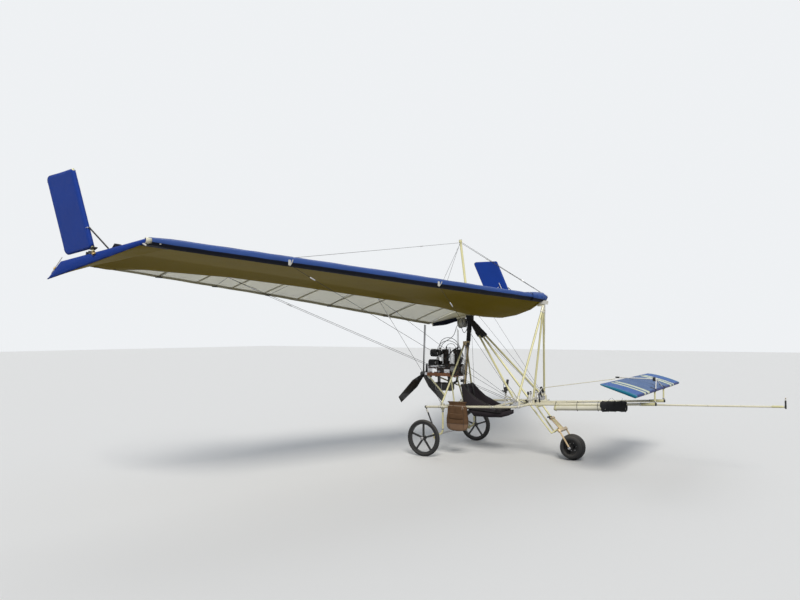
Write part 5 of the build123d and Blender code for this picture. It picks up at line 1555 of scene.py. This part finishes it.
# The cap is lighter blue above, painted light, and navy below, partly painted shade.
cloth_piece("apex_cap", rows, ("blue sailcloth with painted light", "navy sailcloth"), 0.0015,
            finish_of=lambda i, j: int(j >= 10))
blocks_piece("apex_plates", [
    *((at(1.440, s * 0.034, 2.092), (0.080, 0.006, 0.050), (1, 0, -0.1)) for s in (-1, 1)),
    (at(1.395, 0, 2.128), (0.060, 0.060, 0.018), (1, 0, -0.1)),
], "white enamel", bevel=0.002)

# %% [markdown]
# ## Frame fittings
# Tubes are joined by brackets, bolts and plastic caps. These are small, but they are what makes a
# tube frame look built, so each corner gets its plates, bolt heads and caps from short tables.

# %% Caps, clamps and corner bolts
RAIL_Y, RAIL_REAR, RAIL_FRONT = 0.552, (-0.118, 0.640), (1.278, 0.713)
REAR_CROSS_X, SEAT_BAR_X, CORNER_Y = 0.130, 0.905, 0.500
RAIL_CAP = ((-0.014, 0.0175), (0.002, 0.0178), (0.006, 0.015), (0.008, 0.008))
RAIL_BOLT = ((0, 0.011), (0.002, 0.011), (0.0021, 0.0075), (0.008, 0.0075), (0.009, 0.006))
LUG_BOLT = ((0, 0.0095), (0.002, 0.0095), (0.0021, 0.0065), (0.008, 0.0065))


def rail_z(station):
    """The height of a side rail's axis."""
    share = (station - RAIL_REAR[0]) / (RAIL_FRONT[0] - RAIL_REAR[0])
    return RAIL_REAR[1] + share * (RAIL_FRONT[1] - RAIL_REAR[1])


rail_dir = (at(RAIL_FRONT[0], 0, RAIL_FRONT[1]) - at(RAIL_REAR[0], 0, RAIL_REAR[1])).normalized()
rear_caps, front_caps, bolts, bands, plates = [], [], [], [], []
for s in (-1, 1):
    rear_caps.append((at(RAIL_REAR[0], s * RAIL_Y, RAIL_REAR[1]), -rail_dir, RAIL_CAP))
    front_caps.append((at(RAIL_FRONT[0], s * RAIL_Y, RAIL_FRONT[1]), rail_dir, RAIL_CAP))
    for x in (REAR_CROSS_X, SEAT_BAR_X, FRONT_CROSS_X):
        bolts.append((at(x, s * (RAIL_Y + 0.0155), rail_z(x)), (0, s, 0), RAIL_BOLT))
        for place in (x - 0.030, x + 0.030):
            middle = at(place, s * RAIL_Y, rail_z(place))
            bands.append(loop_round(middle, Vector((0, 0.0172, 0)), Vector((0, 0, 0.0172)), 21))
    for x, z, reach in (
        (REAR_CROSS_X - 0.012, rail_z(REAR_CROSS_X) + 0.020, 0.0208),
        (FRONT_CROSS_X - 0.045, 0.757, 0.0130),
        (FRONT_CROSS_X - 0.020, 0.774, 0.0130),
    ):
        bolts += [(at(x, s * CORNER_Y + side * reach, z), (0, side, 0), LUG_BOLT) for side in (-1, 1)]
    for y in (CORNER_Y + 0.0145, CORNER_Y - 0.0145):
        plates.append((at(FRONT_CROSS_X - 0.040, s * y, 0.742), (0.070, 0.004, 0.075), AHEAD))
turned_piece("rail_rear_caps", rear_caps, "black plastic", steps=20)
turned_piece("rail_front_caps", front_caps, "white enamel", steps=20)
turned_piece("frame_bolts", bolts, "steel", steps=6)
line_piece("rail_clamps", bands, 0.0022, "steel")
blocks_piece("corner_plates", plates, "machined alloy")

# %% Strut ends: bright collars where a tube meets its stub
STRUT_COLLAR = ((0, 0.0175), (0.003, 0.0182), (0.010, 0.0182), (0.013, 0.0165))
STRUT_PIN = ((0, 0.008), (0.005, 0.008), (0.006, 0.006))
DOWNTUBE_TOP = at(1.425, 0, 2.062)
collars, pins = [], []
for top, low in [(DOWNTUBE_TOP, at(*p)) for p in ((1.240, -0.5, 0.800), (1.262, 0, 0.745), (1.240, 0.5, 0.800))] + [
    (HUB, low) for low in ENDS.values()
]:
    u = (low - top).normalized()
    if top == DOWNTUBE_TOP:
        collars.append((top + u * 0.101, u, STRUT_COLLAR))
    collars.append((low - u * 0.052, u, STRUT_COLLAR))
    pins += [(low - u * 0.028 + Vector((0, side * 0.0185, 0)), (0, side, 0), STRUT_PIN) for side in (-1, 1)]
turned_piece("strut_collars", collars, "white enamel", steps=20)
turned_piece("strut_pins", pins, "steel", steps=6)

# %% [markdown]
# ### Cockpit
# The stick has a ribbed black grip, a lever and pale joints; the foot bars have black caps and a
# link each. These are placed from the zoomed photograph on the tubes that carry them.

# %% Stick, levers and foot bars
grip = [(0.0, 0.0165)]
for k in range(7):
    grip += [(0.004 + 0.0088 * k, 0.0185), (0.0085 + 0.0088 * k, 0.0168)]
grip += [(0.066, 0.020), (0.074, 0.017), (0.078, 0.008)]
stick_dir = Vector((0.010, 0, 0.063)).normalized()
turned_piece("stick_grip", [(at(0.944, -0.150, 0.960), stick_dir, grip)], "black plastic", steps=28)
turned_piece("stick_joints", [
    (at(0.927, -0.150, 0.852), (0.12, 0, 1), ((0, 0.013), (0.006, 0.017), (0.020, 0.017), (0.026, 0.011))),
    (at(0.943, -0.150, 0.945), stick_dir, ((0, 0.010), (0.004, 0.014), (0.012, 0.014), (0.016, 0.010))),
], "white enamel")
blocks_piece("stick_lever", [
    (at(0.933, -0.172, 0.905), (0.052, 0.018, 0.060), (1, 0, 0.3)),
    (at(0.915, -0.176, 0.870), (0.075, 0.012, 0.016), (1, 0, -0.5)),
], "black plastic", bevel=0.003)
line_piece("stick_rods", stations(
    ((0.948, -0.165, 0.925), (1.050, -0.170, 0.850), (1.130, -0.172, 0.745)),
    ((0.920, -0.135, 0.800), (1.200, -0.100, 0.735)),
), 0.0055, "cream anodising", smooth=False)
line_piece("brake_cable", stations(
    ((0.925, -0.178, 0.900), (0.900, -0.200, 0.960), (0.950, -0.220, 1.000), (1.060, -0.240, 0.900),
     (1.160, -0.260, 0.760), (1.245, -0.270, 0.735)),
), 0.0030, "black plastic")
FOOT_CAP = ((0, 0.0125), (0.004, 0.0135), (0.036, 0.0135), (0.042, 0.009))
caps, links = [], []
for y, lean in ((-0.130, -0.025), (-0.065, 0.0), (0.065, 0.0), (0.130, 0.025)):
    caps.append((at(FRONT_CROSS_X - 0.008, y + lean, 0.842), (-0.05, lean * 6, 1), FOOT_CAP))
    links.append((at(FRONT_CROSS_X - 0.002, y + lean * 0.4, 0.775), (0.034, 0.034, 0.022), AHEAD))
turned_piece("foot_bar_caps", caps, "black plastic", steps=20)
blocks_piece("foot_bar_clamps", links, "white enamel", bevel=0.003)
treads = [[at(FRONT_CROSS_X - 0.004, s * y, 0.860) for y in (0.160, 0.058)] for s in (-1, 1)]
line_piece("foot_bar_treads", treads, 0.0085, "white enamel", smooth=False, sides=5)
line_piece("control_links", stations(
    ((1.205, -0.030, 0.735), (1.300, -0.020, 0.800), (1.395, -0.005, 0.925)),
    ((1.150, -0.040, 0.725), (1.228, -0.060, 0.800), (1.262, -0.070, 0.740)),
), 0.0075, "white enamel", smooth=False, sides=5)
blocks_piece("control_bellcrank", [
    (at(1.392, 0.0, 0.905), (0.034, 0.016, 0.085), (1, 0, 0.5)),
    (at(1.372, 0.0, 0.850), (0.020, 0.020, 0.090), (1, 0, 0.25)),
    (at(1.352, 0.0, 0.790), (0.016, 0.026, 0.120), (1, 0, 0.1)),
], "black enamel", bevel=0.003)
turned_piece("pulleys", [
    (at(1.185, -0.050, 0.738), STARBOARD, ((0, 0.020), (0.003, 0.020), (0.006, 0.014), (0.009, 0.020), (0.012, 0.020))),
    (at(1.315, -0.040, 0.752), STARBOARD, ((0, 0.016), (0.003, 0.016), (0.005, 0.011), (0.008, 0.016), (0.011, 0.016))),
], "black plastic")

# %% Seat straps: webbing laid on the pads
STRAP_T, STRAP_X, STRAP_Z = (0, 0.42, 0.5, 1.0), (0.300, 0.352, 0.375, 0.620), (0.940, 0.680, 0.655, 0.634)
for side_name, s in reversed(SIDES):
    rows = []
    for k in range(29):
        t = k / 28
        x = float(np.interp(t, STRAP_T, STRAP_X)) + 0.002 * math.sin(k)
        z = float(np.interp(t, STRAP_T, STRAP_Z)) + 0.004 + 0.002 * math.cos(k * 1.3)
        rows.append([at(x, s * 0.085 + 0.022 * w + 0.010 * math.sin(t * 3), z) for w in (-1, 0, 1)])
    cloth_piece("seat_strap_" + side_name, rows, "black strap", 0.0022)
blocks_piece("strap_buckles", [(at(0.560, s * 0.075, 0.650), (0.050, 0.034, 0.010), (1, 0, -0.07)) for s in (-1, 1)],
             "machined alloy", bevel=0.003)

# %% [markdown]
# ### Nose gear, pole and instrument
# The steering yoke is black, with rubber boots on its twin tubes. The pole ends in a small black
# instrument with a pale stub; its sheath and clamp are turned parts.

# %% Yoke, its caps and the axle nuts
HEAD_TOP, HEAD_LOW = at(1.530, 0, 0.530), at(1.668, 0, 0.392)
YOKE_CAP = ((0, 0.0165), (0.003, 0.018), (0.022, 0.018), (0.026, 0.0135))
HEAD_NUT = ((0, 0.021), (0.004, 0.021), (0.005, 0.0165), (0.014, 0.0165), (0.015, 0.0125))
NOSE_NUT = ((0, 0.020), (0.018, 0.020), (0.0181, 0.012), (0.026, 0.012), (0.027, 0.009))
MAIN_NUT = ((0, 0.0175), (0.002, 0.0175), (0.0021, 0.0125), (0.012, 0.0125), (0.013, 0.009))
head_u = (HEAD_LOW - HEAD_TOP).normalized()
yoke = [(HEAD_TOP + Vector((0, s * 0.050, 0)) - head_u * 0.014, head_u, YOKE_CAP) for s in (-1, 1)]
turned_piece("yoke_caps", yoke, "black enamel", "nose_fork", 20)
blocks_piece("yoke_plate", [
    (HEAD_TOP - head_u * 0.004, (0.150, 0.034, 0.014), PORT),
    (HEAD_TOP - head_u * 0.010 + Vector((-0.030, 0, 0.006)), (0.060, 0.024, 0.022), (1, 0, 0.2)),
], "black enamel", "nose_fork", bevel=0.003)
turned_piece("steering_head_nut", [(HEAD_TOP - head_u * 0.012, -head_u, HEAD_NUT)], "black enamel", "nose_fork", 6)
nuts = [(at(NOSE_X, s * 0.1335, NOSE_WHEEL_R), (0, s, 0), NOSE_NUT) for s in (-1, 1)]
turned_piece("nose_axle_nuts", nuts, "steel", "nose_fork", 12)
nuts = [(at(0, s * (TRACK_Y + 0.046), WHEEL_R), (0, s, 0), MAIN_NUT) for s in (-1, 1)]
turned_piece("main_axle_nuts", nuts, "steel", "airframe", 6)

# %% Instrument, pole end and boom ends
POLE_TIP = 4.293
SHEATH = ((0, 0.0125), (0.004, 0.0135), (0.110, 0.0135), (0.118, 0.0120))
turned_piece("pole_sheath", [(at(POLE_TIP - 0.150, 0, 0.8294), (1, 0, 0.04), SHEATH)], "cream anodising")
rim = [at(POLE_TIP - 0.016, y, z) for y, z in ((-0.0145, 0.820), (-0.0145, 0.900), (0.0145, 0.900), (0.0145, 0.820))]
line_piece("instrument_rim", [rim + rim[:1]], 0.0025, "black plastic", smooth=False)
boom_ends, boom_rings = [], []
for s in (-1, 1):
    tip, u = at(BOOM_FRONT[0], s * POST_Y, BOOM_FRONT[1]), Vector((boom_u.x, -s * boom_u.y, boom_u.z))
    boom_ends.append((tip - boom_u * 0.012, u, ((0, 0.0200), (0.012, 0.0200), (0.016, 0.017), (0.017, 0.008))))
    boom_rings.append((tip - u * 0.196, u, ((0, 0.0168), (0.004, 0.0200), (0.012, 0.0200), (0.016, 0.0192))))
POST_COLLAR = ((0, 0.0125), (0.003, 0.0145), (0.014, 0.0145), (0.017, 0.011))
for name, finish_name, steps, parts in (
    ("instrument_stub", "white enamel", 24,
     [(at(POLE_TIP - 0.008, 0, 0.904), UP, ((0, 0.0075), (0.003, 0.008), (0.020, 0.008), (0.022, 0.0065)))]),
    ("instrument_tip", "copper enamel", 24,
     [(at(POLE_TIP - 0.008, 0, 0.930), UP, ((0, 0.0068), (0.005, 0.0068), (0.008, 0.004)))]),
    ("boom_ends", "black plastic", 24, boom_ends),
    ("boom_sleeve_rings", "steel", 24, boom_rings),
    ("stowage_caps", "cream anodising", 32,
     [(on_boom(1.650, 0.0475), -boom_u, ((-0.020, 0.0325), (0.000, 0.0328), (0.004, 0.030), (0.005, 0.020)))]),
    ("post_collars", "steel", 24, [(at(2.914, s * POST_Y, 0.834), UP, POST_COLLAR) for s in (-1, 1)]),
):
    turned_piece(name, parts, finish_name, steps=steps)

# %% Gear leg, drag strut, kingpost and propeller parts
LEG_CLAMP = ((0, 0.0130), (0.003, 0.0150), (0.014, 0.0150), (0.017, 0.0130))
AXLE_CLAMP = ((0, 0.0130), (0.003, 0.0155), (0.020, 0.0155), (0.023, 0.0130))
DRAG_END = ((0, 0.0105), (0.003, 0.0120), (0.046, 0.0120), (0.050, 0.0105))
clamps, drag_ends = [], []
for s in (-1, 1):
    clamps += [(at(REAR_CROSS_X, s * CORNER_Y, z), UP, LEG_CLAMP) for z in (0.330, 0.575)]
    clamps.append((at(0, s * 0.620, WHEEL_R), PORT, AXLE_CLAMP))
    a = at(-0.100, s * RAIL_Y, rail_z(-0.100) - 0.0263)
    b = at(0.040, s * 0.5273, WHEEL_R + 0.006)
    u = (b - a).normalized()
    drag_ends += [(a + u * 0.006, u, DRAG_END), (b - u * 0.070, u, DRAG_END)]
turned_piece("leg_clamps", clamps, "steel")
turned_piece("drag_strut_ends", drag_ends, "white enamel", steps=18)
turned_piece("kingpost_cap", [
    (at(KING_X, 0, 3.038), (-0.12, 0, 1), ((0, 0.0235), (0.006, 0.020), (0.010, 0.010))),
], "white enamel")
turned_piece("kingpost_base", [
    (at(0.297, 0, 2.085), (-0.147, 0, 1), ((0, 0.022), (0.004, 0.0245), (0.040, 0.0245), (0.046, 0.018))),
], "white enamel")
PROPELLER_PLATE = ((-0.0005, 0.044), (0.004, 0.044), (0.006, 0.041), (0.0061, 0.012), (0.010, 0.011))
plate = (at(PROP_X - 0.0305, 0, PROP_Z), BACK, PROPELLER_PLATE)
turned_piece("propeller_plate", [plate], "machined alloy", "propeller", 36)
